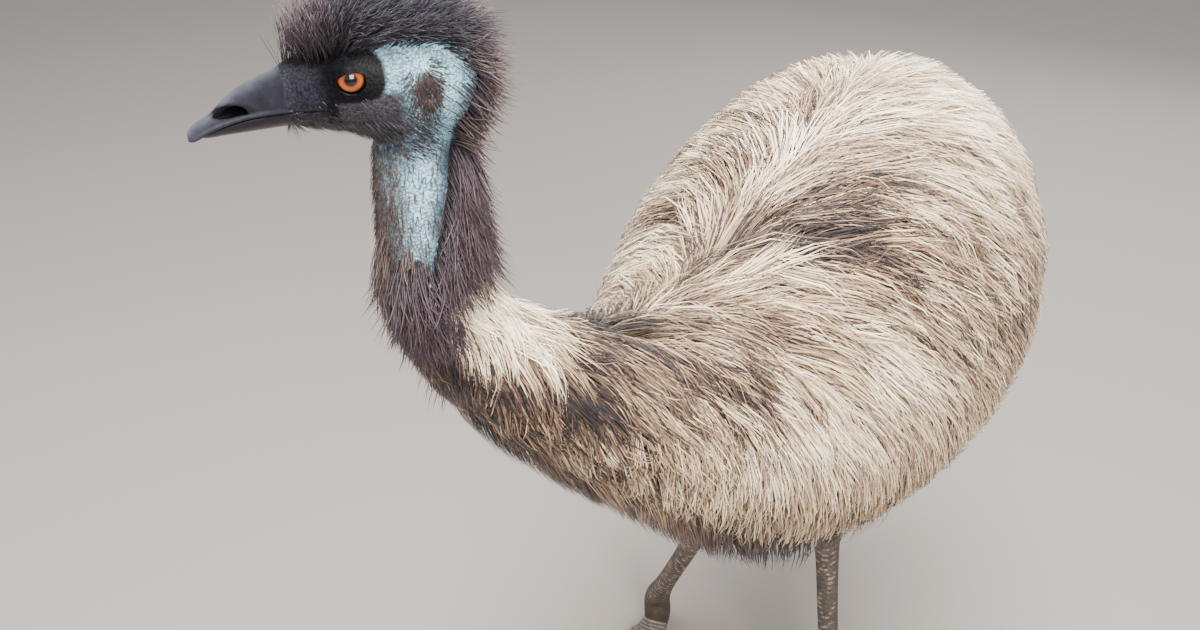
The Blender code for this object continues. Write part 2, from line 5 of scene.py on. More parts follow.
import bmesh
import bpy
import numpy as np
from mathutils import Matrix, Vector


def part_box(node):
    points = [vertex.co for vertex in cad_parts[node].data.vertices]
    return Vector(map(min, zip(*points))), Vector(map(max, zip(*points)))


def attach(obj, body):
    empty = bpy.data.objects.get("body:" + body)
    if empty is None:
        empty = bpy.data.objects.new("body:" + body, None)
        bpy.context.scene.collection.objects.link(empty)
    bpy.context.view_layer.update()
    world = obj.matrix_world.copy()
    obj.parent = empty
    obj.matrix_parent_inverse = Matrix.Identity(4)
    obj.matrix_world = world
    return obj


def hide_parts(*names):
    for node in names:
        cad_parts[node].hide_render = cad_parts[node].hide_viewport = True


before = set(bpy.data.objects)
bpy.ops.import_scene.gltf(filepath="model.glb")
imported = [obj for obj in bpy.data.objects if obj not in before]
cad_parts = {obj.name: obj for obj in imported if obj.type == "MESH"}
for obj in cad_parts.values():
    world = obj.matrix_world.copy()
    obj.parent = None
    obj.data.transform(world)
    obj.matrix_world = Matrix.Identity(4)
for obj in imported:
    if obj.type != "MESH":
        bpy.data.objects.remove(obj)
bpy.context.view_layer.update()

# The emu stands on a pale floor under soft lamps, seen from its front left and
# above.  The camera's place and lens were worked out from the photo, and the
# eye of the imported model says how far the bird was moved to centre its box.
HEAD_AT = Vector((-0.143, -0.6295, 1.256))
HEAD_FACING = math.radians(52.2)
HEAD_PITCH = math.radians(4.0)
EYE_SIDE = 0.0168

level = Vector((-math.sin(HEAD_FACING), -math.cos(HEAD_FACING), 0.0))
HEAD_LEFT = Vector((math.cos(HEAD_FACING), -math.sin(HEAD_FACING), 0.0))
HEAD_FORWARD = level * math.cos(HEAD_PITCH) - Vector((0, 0, 1)) * math.sin(HEAD_PITCH)
HEAD_UP = HEAD_FORWARD.cross(HEAD_LEFT)

eye_low, eye_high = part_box("eye_left")
SHIFT = (Vector(eye_low) + Vector(eye_high)) / 2 - (HEAD_AT + HEAD_LEFT * EYE_SIDE)
SHIFT.z = 0.0


def placed(name, data):
    """A new object of the scene, at its origin."""
    made = bpy.data.objects.new(name, data)
    bpy.context.scene.collection.objects.link(made)
    return made


camera = placed("camera", bpy.data.cameras.new("camera"))
camera.data.lens, camera.data.sensor_width = 33.84, 36.0
camera.location = Vector((0.30, -1.20, 1.48)) + SHIFT
camera.rotation_euler = (math.radians(60), 0.0, math.radians(25))
bpy.context.scene.camera = camera

# Each lamp: its place, the point it looks at, its size, power and colour.
for name, place, aim, size, power, colour in (
        ("sky_lamp", (0.4, -0.6, 3.9), (0, 0, 0.8), 2.0, 520, (1.0, 0.98, 0.96)),
        ("front_lamp", (2.3, -2.8, 2.2), (0, -0.2, 0.8), 1.6, 215, (1.0, 0.97, 0.94)),
        ("side_lamp", (-3.0, -1.2, 2.2), (0, -0.1, 0.9), 2.2, 55, (0.96, 0.98, 1.0)),
        ("back_lamp", (0.4, 3.4, 2.2), (0, 0.2, 0.8), 2.4, 75, (1.0, 1.0, 1.0))):
    lamp = placed(name, bpy.data.lights.new(name, "AREA"))
    lamp.data.size, lamp.data.energy, lamp.data.color = size, power, colour
    lamp.location = place
    lamp.rotation_euler = (Vector(aim) - Vector(place)).to_track_quat("-Z", "Y").to_euler()

world = bpy.data.worlds.new("studio")
world.use_nodes = True
sky = world.node_tree.nodes["Background"].inputs
sky["Color"].default_value, sky["Strength"].default_value = (0.82, 0.85, 0.90, 1), 0.90
bpy.context.scene.world = world

floor = placed("floor", bpy.data.meshes.new("floor"))
floor_bm = bmesh.new()
bmesh.ops.create_grid(floor_bm, x_segments=1, y_segments=1, size=14.0)
floor_bm.to_mesh(floor.data)
floor_bm.free()
floor_paint = bpy.data.materials.new("floor_paint")
floor_paint.use_nodes = True
floor_shader = floor_paint.node_tree.nodes["Principled BSDF"].inputs
floor_shader["Base Color"].default_value = (0.26, 0.23, 0.205, 1)
floor_shader["Roughness"].default_value = 0.95
floor.data.materials.append(floor_paint)


# The skin: one closed surface over tail, body, neck and head, under the coat.
# On the real bird it is soft and dark under the feathers, and bare, pebbled and
# blue on the head and upper neck.  A ring is drawn along the bird's line and
# pulled out station by station; the head is fused onto the upper neck and
# smoothed with its lids, then sockets, lid openings, ears and gape are cut, and
# the neck is joined to the body in one piece.
# Stations of the line, from the tail to the head: middle, how far it faces to
# the right in degrees, half width, height over and depth under the middle, and
# how deep the coat is.
LINE = np.array((
    (0.052, 0.405, 0.810, 0, 0.030, 0.030, 0.040, 0.030),
    (0.050, 0.365, 0.808, 0, 0.130, 0.148, 0.155, 0.060),
    (0.045, 0.275, 0.805, 0, 0.198, 0.230, 0.215, 0.070),
    (0.040, 0.140, 0.803, 0, 0.238, 0.267, 0.242, 0.075),
    (0.032, 0.000, 0.803, 0, 0.240, 0.264, 0.245, 0.075),
    (0.022, -0.130, 0.812, 0, 0.216, 0.244, 0.230, 0.070),
    (0.012, -0.250, 0.832, 0, 0.176, 0.204, 0.186, 0.060),
    (0.000, -0.350, 0.862, 2, 0.134, 0.154, 0.128, 0.050),
    (-0.014, -0.430, 0.902, 6, 0.103, 0.113, 0.088, 0.040),
    (-0.035, -0.505, 0.950, 12, 0.080, 0.083, 0.066, 0.034),
    (-0.065, -0.570, 1.006, 22, 0.060, 0.062, 0.048, 0.026),
    (-0.090, -0.612, 1.062, 34, 0.046, 0.050, 0.038, 0.020),
    (-0.104, -0.626, 1.115, 44, 0.037, 0.045, 0.032, 0.016),
    (-0.112, -0.620, 1.165, 50, 0.031, 0.042, 0.029, 0.012),
    (-0.118, -0.606, 1.215, 52, 0.029, 0.038, 0.028, 0.010),
))
CORE_SHARE = 0.5    # how much of the coat's depth the skin lies inside the solids


def unit(v):
    return v / np.maximum(np.linalg.norm(v, axis=-1, keepdims=True), 1e-12)


def near(value, middle, width):
    """1 at the middle of a soft band and 0 well outside it."""
    return np.exp(-((value - middle) / width) ** 2)


def step_up(value, low, high):
    """0 under the low value, 1 over the high one, and smooth between them."""
    t = np.clip((value - low) / (high - low), 0, 1)
    return t * t * (3 - 2 * t)


def round_turn(count):
    """Angles spread evenly over one turn."""
    return np.linspace(0, 2 * math.pi, count, endpoint=False)


def smooth_rows(rows, at):
    """Smooth values of a table of rows, at places counted in rows."""
    last = len(rows) - 1
    at = np.clip(at, 0.0, last)
    i = np.minimum(at.astype(int), last - 1)
    f = (at - i)[..., None]
    p, q, r, s = (rows[np.clip(i + k, 0, last)] for k in (-1, 0, 1, 2))
    return q + 0.5 * f * (r - p + f * (2 * p - 5 * q + 4 * r - s + f * (3 * (q - r) + s - p)))


def line_axes(at):
    """Rows of the line, and its headward and leftward directions."""
    row = smooth_rows(LINE, at)
    run = unit(smooth_rows(LINE, at + 0.05)[..., :3] - smooth_rows(LINE, at - 0.05)[..., :3])
    facing = np.radians(row[..., 3])
    left = np.stack((np.cos(facing), -np.sin(facing), 0 * facing), -1)
    return row, run, unit(left - run * (left * run).sum(-1, keepdims=True))


def body_surface(at, angle):
    """Points of the body's skin; angle 0 is the back and a quarter turn the left side."""
    row, run, left = line_axes(at)
    side, rise = np.sin(angle), np.cos(angle)
    inset = row[..., 7] * CORE_SHARE
    reach = (np.where(rise > 0, row[..., 5], row[..., 6]) - inset) * rise
    spread = (row[..., 4] - inset) * side
    return row[..., :3] + left * spread[..., None] + np.cross(run, left) * reach[..., None] + np.array(SHIFT)


def head_point(f, s, u):
    """A point of the head, from its forward, leftward and upward distances."""
    return HEAD_AT + SHIFT + HEAD_FORWARD * f + HEAD_LEFT * s + HEAD_UP * u


def to_piece(name, bm):
    """A finished object at the origin from a bmesh."""
    bmesh.ops.recalc_face_normals(bm, faces=bm.faces)
    if bm.calc_volume(signed=True) < 0:
        bmesh.ops.reverse_faces(bm, faces=bm.faces)
    made = placed(name, bpy.data.meshes.new(name))
    bm.to_mesh(made.data)
    bm.free()
    made.data.shade_smooth()
    return made


def drawn_out(name, rings):
    """A closed tube: a circle that is pulled out from ring to ring and capped."""
    bm = bmesh.new()
    verts = bmesh.ops.create_circle(bm, segments=len(rings[0]), radius=1.0)["verts"]
    first = edges = list(bm.edges)
    for ring in rings:
        if ring is not rings[0]:
            new = bmesh.ops.extrude_edge_only(bm, edges=edges)["geom"]
            verts = [g for g in new if isinstance(g, bmesh.types.BMVert)]
            edges = [g for g in new if isinstance(g, bmesh.types.BMEdge)]
        for v, p in zip(verts, ring):
            v.co = p
    bmesh.ops.contextual_create(bm, geom=first)
    bmesh.ops.contextual_create(bm, geom=edges)
    return to_piece(name, bm)


def ball(name, centre, sizes, axes, segments=32, rings=20):
    """A ball squeezed to three half sizes along three axes."""
    bm = bmesh.new()
    bmesh.ops.create_uvsphere(bm, u_segments=segments, v_segments=rings, radius=1.0)
    for v in bm.verts:
        v.co = sum((axes[k] * v.co[k] * sizes[k] for k in range(3)), centre)
    return to_piece(name, bm)


def block(name, centre, halves):
    """A box from its middle and its three half edges."""
    bm = bmesh.new()
    bmesh.ops.create_cube(bm, size=2.0)
    for v in bm.verts:
        v.co = sum((halves[k] * v.co[k] for k in range(3)), centre)
    return to_piece(name, bm)


def applied(piece):
    """Makes the modifiers of a piece part of its mesh."""
    graph = bpy.context.evaluated_depsgraph_get()
    mesh = bpy.data.meshes.new_from_object(piece.evaluated_get(graph))
    piece.modifiers.clear()
    piece.data = mesh


def fuse(target, operation, others):
    """Joins or cuts a piece with others, which are then removed."""
    for other in others:
        step = target.modifiers.new("shape", "BOOLEAN")
        step.operation, step.solver, step.object = operation, "MANIFOLD", other
        applied(target)
        bpy.data.objects.remove(other, do_unlink=True)


def settle(piece, voxel, rounds):
    """One even surface from fused forms, smoothed a little."""
    step = piece.modifiers.new("even", "REMESH")
    step.mode, step.voxel_size, step.use_smooth_shade = "VOXEL", voxel, True
    soft = piece.modifiers.new("soft", "SMOOTH")
    soft.factor, soft.iterations = 0.5, rounds
    applied(piece)


# Sections of the head: forward, half width, top, bottom.
HEAD_SECTIONS = np.array((
    (-0.080, 0.008, 0.000, -0.022),
    (-0.074, 0.019, 0.012, -0.034),
    (-0.060, 0.027, 0.022, -0.048),
    (-0.040, 0.030, 0.028, -0.056),
    (-0.018, 0.030, 0.029, -0.053),
    (0.000, 0.0285, 0.0265, -0.042),
    (0.018, 0.0250, 0.0190, -0.0350),
    (0.036, 0.0205, 0.0112, -0.0308),
    (0.044, 0.0194, 0.0086, -0.0302),
))
MOUTH_HEIGHT = -0.0174


def skull_point(at, angle):
    f, w, top, bottom = smooth_rows(HEAD_SECTIONS, at)
    side, rise = math.sin(angle), math.cos(angle)
    # towards the bill the round of the head turns into a ridge over the mouth
    ridge = min(max((f - 0.008) / 0.026, 0.0), 1.0)
    round_height = (top + bottom) / 2 + (top - bottom) / 2 * rise
    beak_height = MOUTH_HEIGHT + (
        rise ** 1.4 * (top - MOUTH_HEIGHT) if rise > 0 else rise * (MOUTH_HEIGHT - bottom))
    # the brow stands over the eye
    brow = 0.0016 * near(angle, 0.95, 0.30) * near(f, 0.004, 0.020)
    return head_point(f, (w + brow) * side, round_height * (1 - ridge) + beak_height * ridge + brow)


def body_rings(stations, around):
    return [[Vector(p) for p in body_surface(np.full(around, at), round_turn(around))] for at in stations]


skin = drawn_out("skin", body_rings(np.arange(0.0, 11.0, 0.125), 72))
upper = drawn_out("upper", body_rings(np.arange(10.4, 14.01, 0.12), 48))
SKULL_STEPS = 40
skull = drawn_out("skull", [[skull_point((len(HEAD_SECTIONS) - 1) * k / SKULL_STEPS, a) for a in round_turn(56)]
                            for k in range(SKULL_STEPS + 1)])
fuse(upper, "UNION", [skull])
settle(upper, 0.0016, 6)

EYE_RADIUS = 0.0118
LID_OPENING = (0.0092, 0.0078)
LID_TILT = math.radians(8)
UPPER_LID = 0.78    # height of the opening's upper half, of that of its lower half
EAR_AT = (-0.0447, 0.0300, -0.0115)
MOUTH_BACK, MOUTH_FRONT = (-0.004, -0.0184), (0.050, -0.0177)


def eye_centre(side):
    return head_point(0.0, EYE_SIDE * side, 0.0)


long_axis = HEAD_FORWARD * math.cos(LID_TILT) - HEAD_UP * math.sin(LID_TILT)
short_axis = HEAD_FORWARD * math.sin(LID_TILT) + HEAD_UP * math.cos(LID_TILT)
added, cut = [], []
for side in (1, -1):
    out = HEAD_LEFT * side
    axes = (HEAD_FORWARD, HEAD_UP, out)
    centre = eye_centre(side)
    added.append(ball("lids", centre, (EYE_RADIUS + 0.0017,) * 3, axes))
    cut.append(ball("socket", centre, (EYE_RADIUS + 0.0002,) * 3, axes))
    # the opening of the lids: how far out, and how wide there
    rings = []
    for depth, grow in ((0.003, 0.80), (0.0085, 0.94), (0.0118, 1.0), (0.0150, 1.16)):
        middle = centre + out * depth - HEAD_UP * 0.0008
        rings.append([middle + long_axis * LID_OPENING[0] * grow * math.cos(a)
                      + short_axis * LID_OPENING[1] * grow * math.sin(a)
                      * (1.0 if math.sin(a) < 0 else UPPER_LID) for a in round_turn(28)])
    cut.append(drawn_out("opening", rings))
    ear = head_point(EAR_AT[0], (EAR_AT[1] + 0.0005) * side, EAR_AT[2])
    cut.append(ball("ear", ear, (0.0028, 0.0042, 0.0042), axes))
fuse(upper, "UNION", added)
settle(upper, 0.0011, 2)
fuse(upper, "DIFFERENCE", cut)

back, front = (head_point(f, 0, u) for f, u in (MOUTH_BACK, MOUTH_FRONT))
gape_run = (front - back).normalized()
gape = block("gape", (front + back) / 2, (gape_run * (front - back).length / 2, HEAD_LEFT * 0.05,
                                          gape_run.cross(HEAD_LEFT) * 0.0007))
fuse(upper, "DIFFERENCE", [gape])
fuse(skin, "UNION", [upper])


def head_parts(points):
    """Forward, leftward and upward distances of points from between the eyes."""
    d = points - np.array(HEAD_AT + SHIFT)
    return d @ np.array(HEAD_FORWARD), d @ np.array(HEAD_LEFT), d @ np.array(HEAD_UP)


def paint_values(r, g, b):
    """Colour values of a shader for a paint given in 0 to 255."""
    v = np.array((r, g, b)) / 255.0
    return np.where(v <= 0.04045, v / 12.92, ((v + 0.055) / 1.055) ** 2.4)


DARK_SKIN = paint_values(11, 10, 14)
FACE_SKIN = paint_values(37, 36, 44)
BLUE_SKIN = paint_values(116, 152, 172)
TEAL_SKIN = paint_values(172, 214, 228)
DEEP_BLUE = paint_values(74, 92, 110)
CHEEK_SKIN = paint_values(56, 54, 62)
FRONT_SKIN = paint_values(100, 114, 116)
UNDER_COAT = paint_values(160, 136, 110)

# The line in fine steps, to find where on it a point of the neck lies.
line_fine = np.arange(0.0, 14.01, 0.05)
line_points = smooth_rows(LINE, line_fine)[:, :3] + np.array(SHIFT)


def nearest(points, centres, batch=4000):
    """The number of the centre that lies nearest to each point."""
    found = np.empty(len(points), int)
    for start in range(0, len(points), batch):
        some = points[start:start + batch]
        found[start:start + batch] = ((some[:, None] - centres[None]) ** 2).sum(-1).argmin(1)
    return found


def place_on_line(points):
    """The nearest station of the line, and the turn from the nape to the left."""
    at = line_fine[nearest(points, line_points)]
    row, run, left = line_axes(at)
    off = points - row[:, :3] - np.array(SHIFT)
    return at, np.arctan2((off * left).sum(-1), (off * np.cross(run, left)).sum(-1))


def skin_colours(points):
    """The markings of the bare skin: black round the eye, pale turquoise behind
    it, blue down the neck, and buff under the feathers."""
    f, s, u = head_parts(points)
    at, turn = place_on_line(points)
    waver = 0.09 * np.sin(points[:, 2] * 170 + 2.5 * np.sin(points[:, 0] * 130))
    turn = np.abs(turn + waver * np.sign(turn))
    colour = np.empty((len(points), 3))
    colour[:] = UNDER_COAT

    def lay(paint, amount):
        amount = np.clip(amount, 0, 1)[:, None]
        colour[:] = colour * (1 - amount) + paint * amount

    # the neck: a blue strip down each side between dark nape and grey throat
    lay(DARK_SKIN, step_up(at, 10.9, 11.5))
    strip = near(turn, np.interp(at, (11.4, 12.4, 13.6), (2.55, 2.2, 1.7)), 0.75) * step_up(at, 11.3, 11.9)
    lay(DEEP_BLUE, strip * 1.3)
    lay(BLUE_SKIN, strip * step_up(at, 11.6, 13.0))
    pale = near(turn, np.interp(at, (11.8, 13.6), (1.80, 1.20)), 0.36)
    lay(TEAL_SKIN, 0.80 * pale * step_up(at, 11.9, 13.0))
    lay(FRONT_SKIN, 0.90 * step_up(turn, 1.50, 2.0) * step_up(at, 11.9, 12.6))
    # the head: cheek, black patch round the eye, face, ear and dark crown
    on_head = (u > -0.056) & (np.abs(s) < 0.06) & (f > -0.11)
    head = on_head * step_up(u, -0.056, -0.044)
    lay(BLUE_SKIN, head)
    lay(TEAL_SKIN, head * 1.15 * near(f, -0.054, 0.030) * near(u, 0.000, 0.036))
    lay(CHEEK_SKIN, head * step_up(-u, 0.006, 0.012) * step_up(f, -0.042 - 0.3 * (u + 0.02), -0.024))
    round_eye = 1 - (np.abs(f / 0.0225) ** 3 + np.abs((u - 0.002) / 0.0165) ** 3) ** (1 / 3)
    lay(DARK_SKIN, head * np.maximum(step_up(round_eye, -0.06, 0.10), step_up(f, 0.006, 0.014)))
    lay(FACE_SKIN, head * step_up(f, 0.012, 0.026) * (1 - step_up(u, 0.004, 0.014)))
    ear = 1 - np.hypot((f - EAR_AT[0]) / 0.0080, (u - EAR_AT[2]) / 0.0130)
    lay(CHEEK_SKIN * 0.5, head * 0.85 * step_up(ear, -0.1, 0.35))
    rim = np.interp(f, (-0.070, -0.050, -0.030, -0.012, 0.010), (0.014, 0.023, 0.021, 0.013, 0.010))
    lay(DARK_SKIN, head * step_up(u - rim, -0.002, 0.003))
    return colour


def keep_colours(piece, colours):
    """Stores the markings: one colour for each vertex of a piece."""
    store = piece.data.attributes.new("Markings", "FLOAT_COLOR", "POINT")
    store.data.foreach_set("color", np.insert(colours, 3, 1.0, axis=1).astype(np.float32).ravel())


def points_of(piece, what="co"):
    """The places of a piece's vertices, or its normals."""
    p = np.empty(len(piece.data.vertices) * 3)
    piece.data.vertices.foreach_get(what, p)
    return p.reshape(-1, 3)


def move_points(piece, points):
    piece.data.vertices.foreach_set("co", points.ravel())


class Mix:
    """Short ways to place and join the nodes of one material."""

    def __init__(self, name):
        self.material = bpy.data.materials.new(name)
        self.material.use_nodes = True
        self.tree = self.material.node_tree
        self.place = self.node("ShaderNodeTexCoord").outputs["Object"]
        marks = self.node("ShaderNodeAttribute", attribute_name="Markings").outputs
        self.marks, self.lightness = marks["Color"], marks["Fac"]

    def put(self, sockets, values):
        """Links or sets the inputs of a node."""
        for key, value in values.items():
            if isinstance(value, bpy.types.NodeSocket):
                self.tree.links.new(value, sockets[key])
            else:
                sockets[key].default_value = value

    def node(self, kind, values=None, **settings):
        made = self.tree.nodes.new(kind)
        for key, value in settings.items():
            setattr(made, key, value)
        self.put(made.inputs, values or {})
        return made

    def noise(self, scale, detail=3.0, roughness=0.55):
        return self.node("ShaderNodeTexNoise", {"Vector": self.place, "Scale": scale, "Detail": detail,
                                                "Roughness": roughness}).outputs["Fac"]

    def pebbles(self, scale, feature="F1"):
        return self.node("ShaderNodeTexVoronoi", {"Vector": self.place, "Scale": scale},
                         feature=feature).outputs["Distance"]

    def ramp(self, value, *stops):
        """Greys for a value, from pairs of place and grey."""
        made = self.node("ShaderNodeValToRGB", {"Fac": value})
        elements = made.color_ramp.elements
        while len(elements) < len(stops):
            elements.new(0.5)
        for element, (where, grey) in zip(elements, stops):
            element.position, element.color = where, (grey, grey, grey, 1)
        return made.outputs["Color"]

    def mottled(self, scale, low, high, detail=3.0):
        """Soft spots of two greys."""
        return self.ramp(self.noise(scale, detail), (0.3, low), (0.7, high))

    def times(self, a, b, amount=1.0):
        """One colour multiplied by another."""
        return self.node("ShaderNodeMix", {0: amount, 6: a, 7: b}, data_type="RGBA",
                         blend_type="MULTIPLY").outputs[2]

    def bump(self, height, strength, distance, below=None):
        values = {"Height": height, "Strength": strength, "Distance": distance}
        if below is not None:
            values["Normal"] = below
        return self.node("ShaderNodeBump", values).outputs["Normal"]

    def finish(self, colour, rough, normal, gloss, **more):
        """Sets the shader, by links or by values."""
        values = {"Base Color": colour, "Roughness": rough, "Normal": normal, "Specular IOR Level": gloss}
        values.update((key.replace("_", " "), value) for key, value in more.items())
        self.put(self.tree.nodes["Principled BSDF"].inputs, values)

    def cover(self, piece):
        piece.data.materials.clear()
        piece.data.materials.append(self.material)


keep_colours(skin, skin_colours(points_of(skin)))
hide = Mix("pebbled_skin")
pebble = hide.pebbles(560)
# the tops of the pebbles are painted lighter as painted highlights, and the gaps between them darker as painted
# shade
pebble_highlight_and_shade = hide.ramp(pebble, (0.0, 1.45), (0.35, 1.0), (0.75, 0.35))
blotch = hide.ramp(hide.noise(75, 5), (0.32, 0.62), (0.68, 1.15))
relief = hide.bump(pebble, hide.ramp(hide.lightness, (0.02, 0.12), (0.25, 0.75)), -0.0016)
hide.finish(hide.times(hide.times(hide.marks, pebble_highlight_and_shade, 0.9), blotch),
            hide.times(hide.mottled(180, 0.75, 1.0), hide.ramp(hide.lightness, (0.02, 0.46), (0.25, 0.68))),
            hide.bump(hide.noise(420, 4), 0.22, 0.0006, relief),
            hide.ramp(hide.lightness, (0.004, 0.09), (0.04, 0.24)))
hide.cover(skin)
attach(skin, "root")
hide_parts("tail", "torso", "neck_lower", "neck_upper", "head")


# The coat of the body: long, soft, loose double feathers that fall from a
# parting on the spine, back and down over the flanks, in locks that overlap.
# Each feather is a thin closed blade with its root in the skin; those of one
# lock draw together towards their tips.  They are joined into large pieces.
TONES = np.array([paint_values(*paint) for paint in (
    (32, 25, 26), (96, 72, 58), (176, 147, 115), (227, 206, 173), (253, 242, 217))])
DOWN = np.array((0.0, 0.0, -1.0))
share = 1.0
# Light and dark patches of the plumage: the change of tone, the middle and
# half width along the line, and those of the turn from the back to the left.
PATCHES = (
    (0.34, 3.2, 1.4, 0.10, 0.50), (0.24, 6.4, 0.8, -0.62, 0.28), (-0.22, 6.3, 0.8, 0.18, 0.40),
    (-0.16, 8.6, 0.7, 0.35, 0.70), (-0.12, 8.9, 0.8, 0.60, 0.42), (0.22, 6.4, 0.6, 1.02, 0.26),
    (0.12, 7.5, 0.7, 1.45, 0.35), (-0.14, 4.2, 1.1, 1.15, 0.35), (0.30, 10.2, 0.5, -0.15, 0.35),
    (-0.60, 11.2, 0.55, 1.95, 0.28), (-0.60, 9.7, 0.30, -0.15, 0.35), (-0.40, 10.1, 0.35, 1.20, 0.20),
    (-0.16, 7.9, 0.5, 0.35, 0.35),
)


def tone_colour(tone):
    """Colours for tones from 0, black brown, to 1, cream."""
    at = np.clip(tone, 0, 1) * (len(TONES) - 1)
    i = np.minimum(at.astype(int), len(TONES) - 2)
    f = (at - i)[..., None]
    return TONES[i] * (1 - f) + TONES[i + 1] * f


def plumage_tone(at, turn):
    """How light the plumage is at a place on the body."""
    tone = 0.72
    for change, middle, half, turn_middle, turn_half in PATCHES:
        tone = tone + change * near(at, middle, half) * near(turn, turn_middle, turn_half)
    tone -= 0.34 * near(turn, 0.30 - 0.29 * (at - 5.9), 0.15) * near(at, 6.8, 1.1)
    turn = np.abs(turn)
    tone -= 0.22 * near(turn, 1.95, 0.22) * step_up(8.2 - at, 0.0, 1.0) * step_up(at, 4.0, 5.4)
    tone -= 0.16 * step_up(turn, 2.2, 2.7) * step_up(at, 7.4, 8.6)
    # the belly under the hem, between the legs, is painted much darker: painted shadow
    tone -= 0.66 * step_up(turn, 2.18, 2.42) * near(at, 5.2, 2.4)
    tone -= 0.10 * near(at, 4.0, 1.5) * near(turn, 1.5, 0.6)
    tone -= 0.20 * step_up(turn, 1.9, 2.7) * step_up(10.0 - at, 0.5, 2.0)
    tone -= 0.16 * step_up(3.2 - at, 0.0, 1.5)
    tone -= 0.33 * step_up(at, 8.6, 10.2)
    # the cream side of the lower neck, and the dark band above it
    cream_side = np.interp(at, (10.4, 11.5), (1.15, 1.72))
    cream = 0.70 * step_up(at, 10.1, 10.9) * step_up(12.6 - at, 0.0, 0.5)
    tone += cream * step_up(cream_side - turn, 0.0, 0.35)
    return tone - 0.32 * step_up(at, 11.45, 11.9) * step_up(turn, 1.4, 1.8)


def black_share(at, turn):
    """How many of the feathers are black: few on the flank, many in the streaks
    beside the parting and over the shoulder."""
    few = 0.09 * wildness(at, turn)
    streak = 0.42 * near(turn, 0.30 - 0.29 * (at - 5.9), 0.12) * near(at, 6.8, 1.0)
    shoulder = 0.55 * near(turn, 0.31 + 0.69 * (9.26 - at), 0.16) * near(at, 8.9, 0.8)
    tuft = (0.75 * near(at, 9.8, 0.45) * near(turn, -0.05, 0.35)
            + 0.5 * near(at, 10.1, 0.35) * near(turn, 1.2, 0.20))
    rump = 0.22 * near(at, 1.6, 0.8) * step_up(np.abs(turn), 1.2, 1.9)
    right = 0.08 * near(turn, -0.75, 0.40) * (at < 8.5)
    return few + streak + shoulder + tuft + rump + right


def surface_run(at, turn):
    """How the skin runs headward and around, and its outward normal."""
    e = 0.02
    along = (body_surface(at + e, turn) - body_surface(at - e, turn)) / (2 * e)
    around = (body_surface(at, turn + e) - body_surface(at, turn - e)) / (2 * e)
    return along, around, unit(np.cross(along, around))


def parting(at):
    """Where the plumage parts: on the spine, and right of it at the shoulders."""
    return np.interp(at, (3.0, 5.2, 6.5, 7.2, 8.6), (-0.05, 0.0, -0.18, -0.32, -0.10))


def wildness(at, turn):
    """How mixed light and dark feathers are: much on the back, little on the flank."""
    return 1.0 - 0.72 * step_up(np.abs(turn), 0.95, 1.45) * step_up(9.2 - at, 0.3, 1.6)


def lie_of_feathers(at, turn, swing):
    """The way a feather lies: back, away from the parting, and down."""
    along, around, normal = surface_run(at, turn)
    from_parting = np.sin(turn - parting(at))
    away = unit(around) * (np.tanh(from_parting / 0.10) * 0.50 * np.maximum(0, np.cos(turn)))[..., None]
    round_body = (turn + math.pi) % (2 * math.pi) - math.pi
    hang = np.interp(round_body, (-0.9, -0.35, 0.1, 0.8, 1.4, 1.8, 2.3),
                     (2.4, 1.3, 0.5, 0.60, 0.95, 1.7, 2.2))
    hang = np.maximum(hang, np.interp(at, (0.0, 2.4, 4.2, 6.0), (3.2, 1.9, 1.4, 0.0)))
    hang = np.where(at > 8.0, np.interp(at, (8.0, 9.5), (1.0, 0.0)) * (hang - 0.85) + 0.85, hang)
    want = DOWN * hang[..., None] - unit(along) + away
    want = unit(want - normal * (want * normal).sum(-1, keepdims=True))
    across = np.cross(normal, want)
    return unit(want * np.cos(swing)[..., None] + across * np.sin(swing)[..., None]), normal, along, around


def laid_feathers(at, turn, length, lift, sink, swing, curl, steps):
    """Spines of feathers on the body: points, and the directions out of the skin."""
    spine, outs = [], []
    at, turn, swing = at.copy(), turn.copy(), swing.copy()
    place = body_surface(at, turn)
    flow, normal, along, around = lie_of_feathers(at, turn, swing)
    free = np.zeros(len(at), bool)
    for k in range(steps + 1):
        t = k / steps
        height = -sink + (sink + lift) * (1 - (1 - t) ** 2.4) - 0.25 * lift * t * t
        spine.append(place + normal * height[:, None])
        outs.append(normal.copy())
        swing = swing + curl / steps
        step = flow * (length / steps)[:, None]
        aa, ab, bb = (along ** 2).sum(-1), (along * around).sum(-1), (around ** 2).sum(-1)
        sa, sb = (step * along).sum(-1), (step * around).sum(-1)
        share = np.maximum(aa * bb - ab * ab, 1e-12)
        free |= (at < 0.45) | (normal[:, 2] < -0.58)
        held = ~free
        at = np.where(held, at + (sa * bb - sb * ab) / share, at)
        turn = np.where(held, turn + (sb * aa - sa * ab) / share, turn)
        new_place = body_surface(at, turn)
        new_flow, new_normal, along, around = lie_of_feathers(at, turn, swing)
        loose = unit(flow + DOWN * np.where(at < 1, 0.7, 0.35)[:, None])
        loose_out = unit(normal - loose * (normal * loose).sum(-1, keepdims=True))
        place = np.where(held[:, None], new_place, place + step)
        flow = np.where(held[:, None], new_flow, loose)
        normal = np.where(held[:, None], new_normal, loose_out)
    return np.array(spine), np.array(outs)


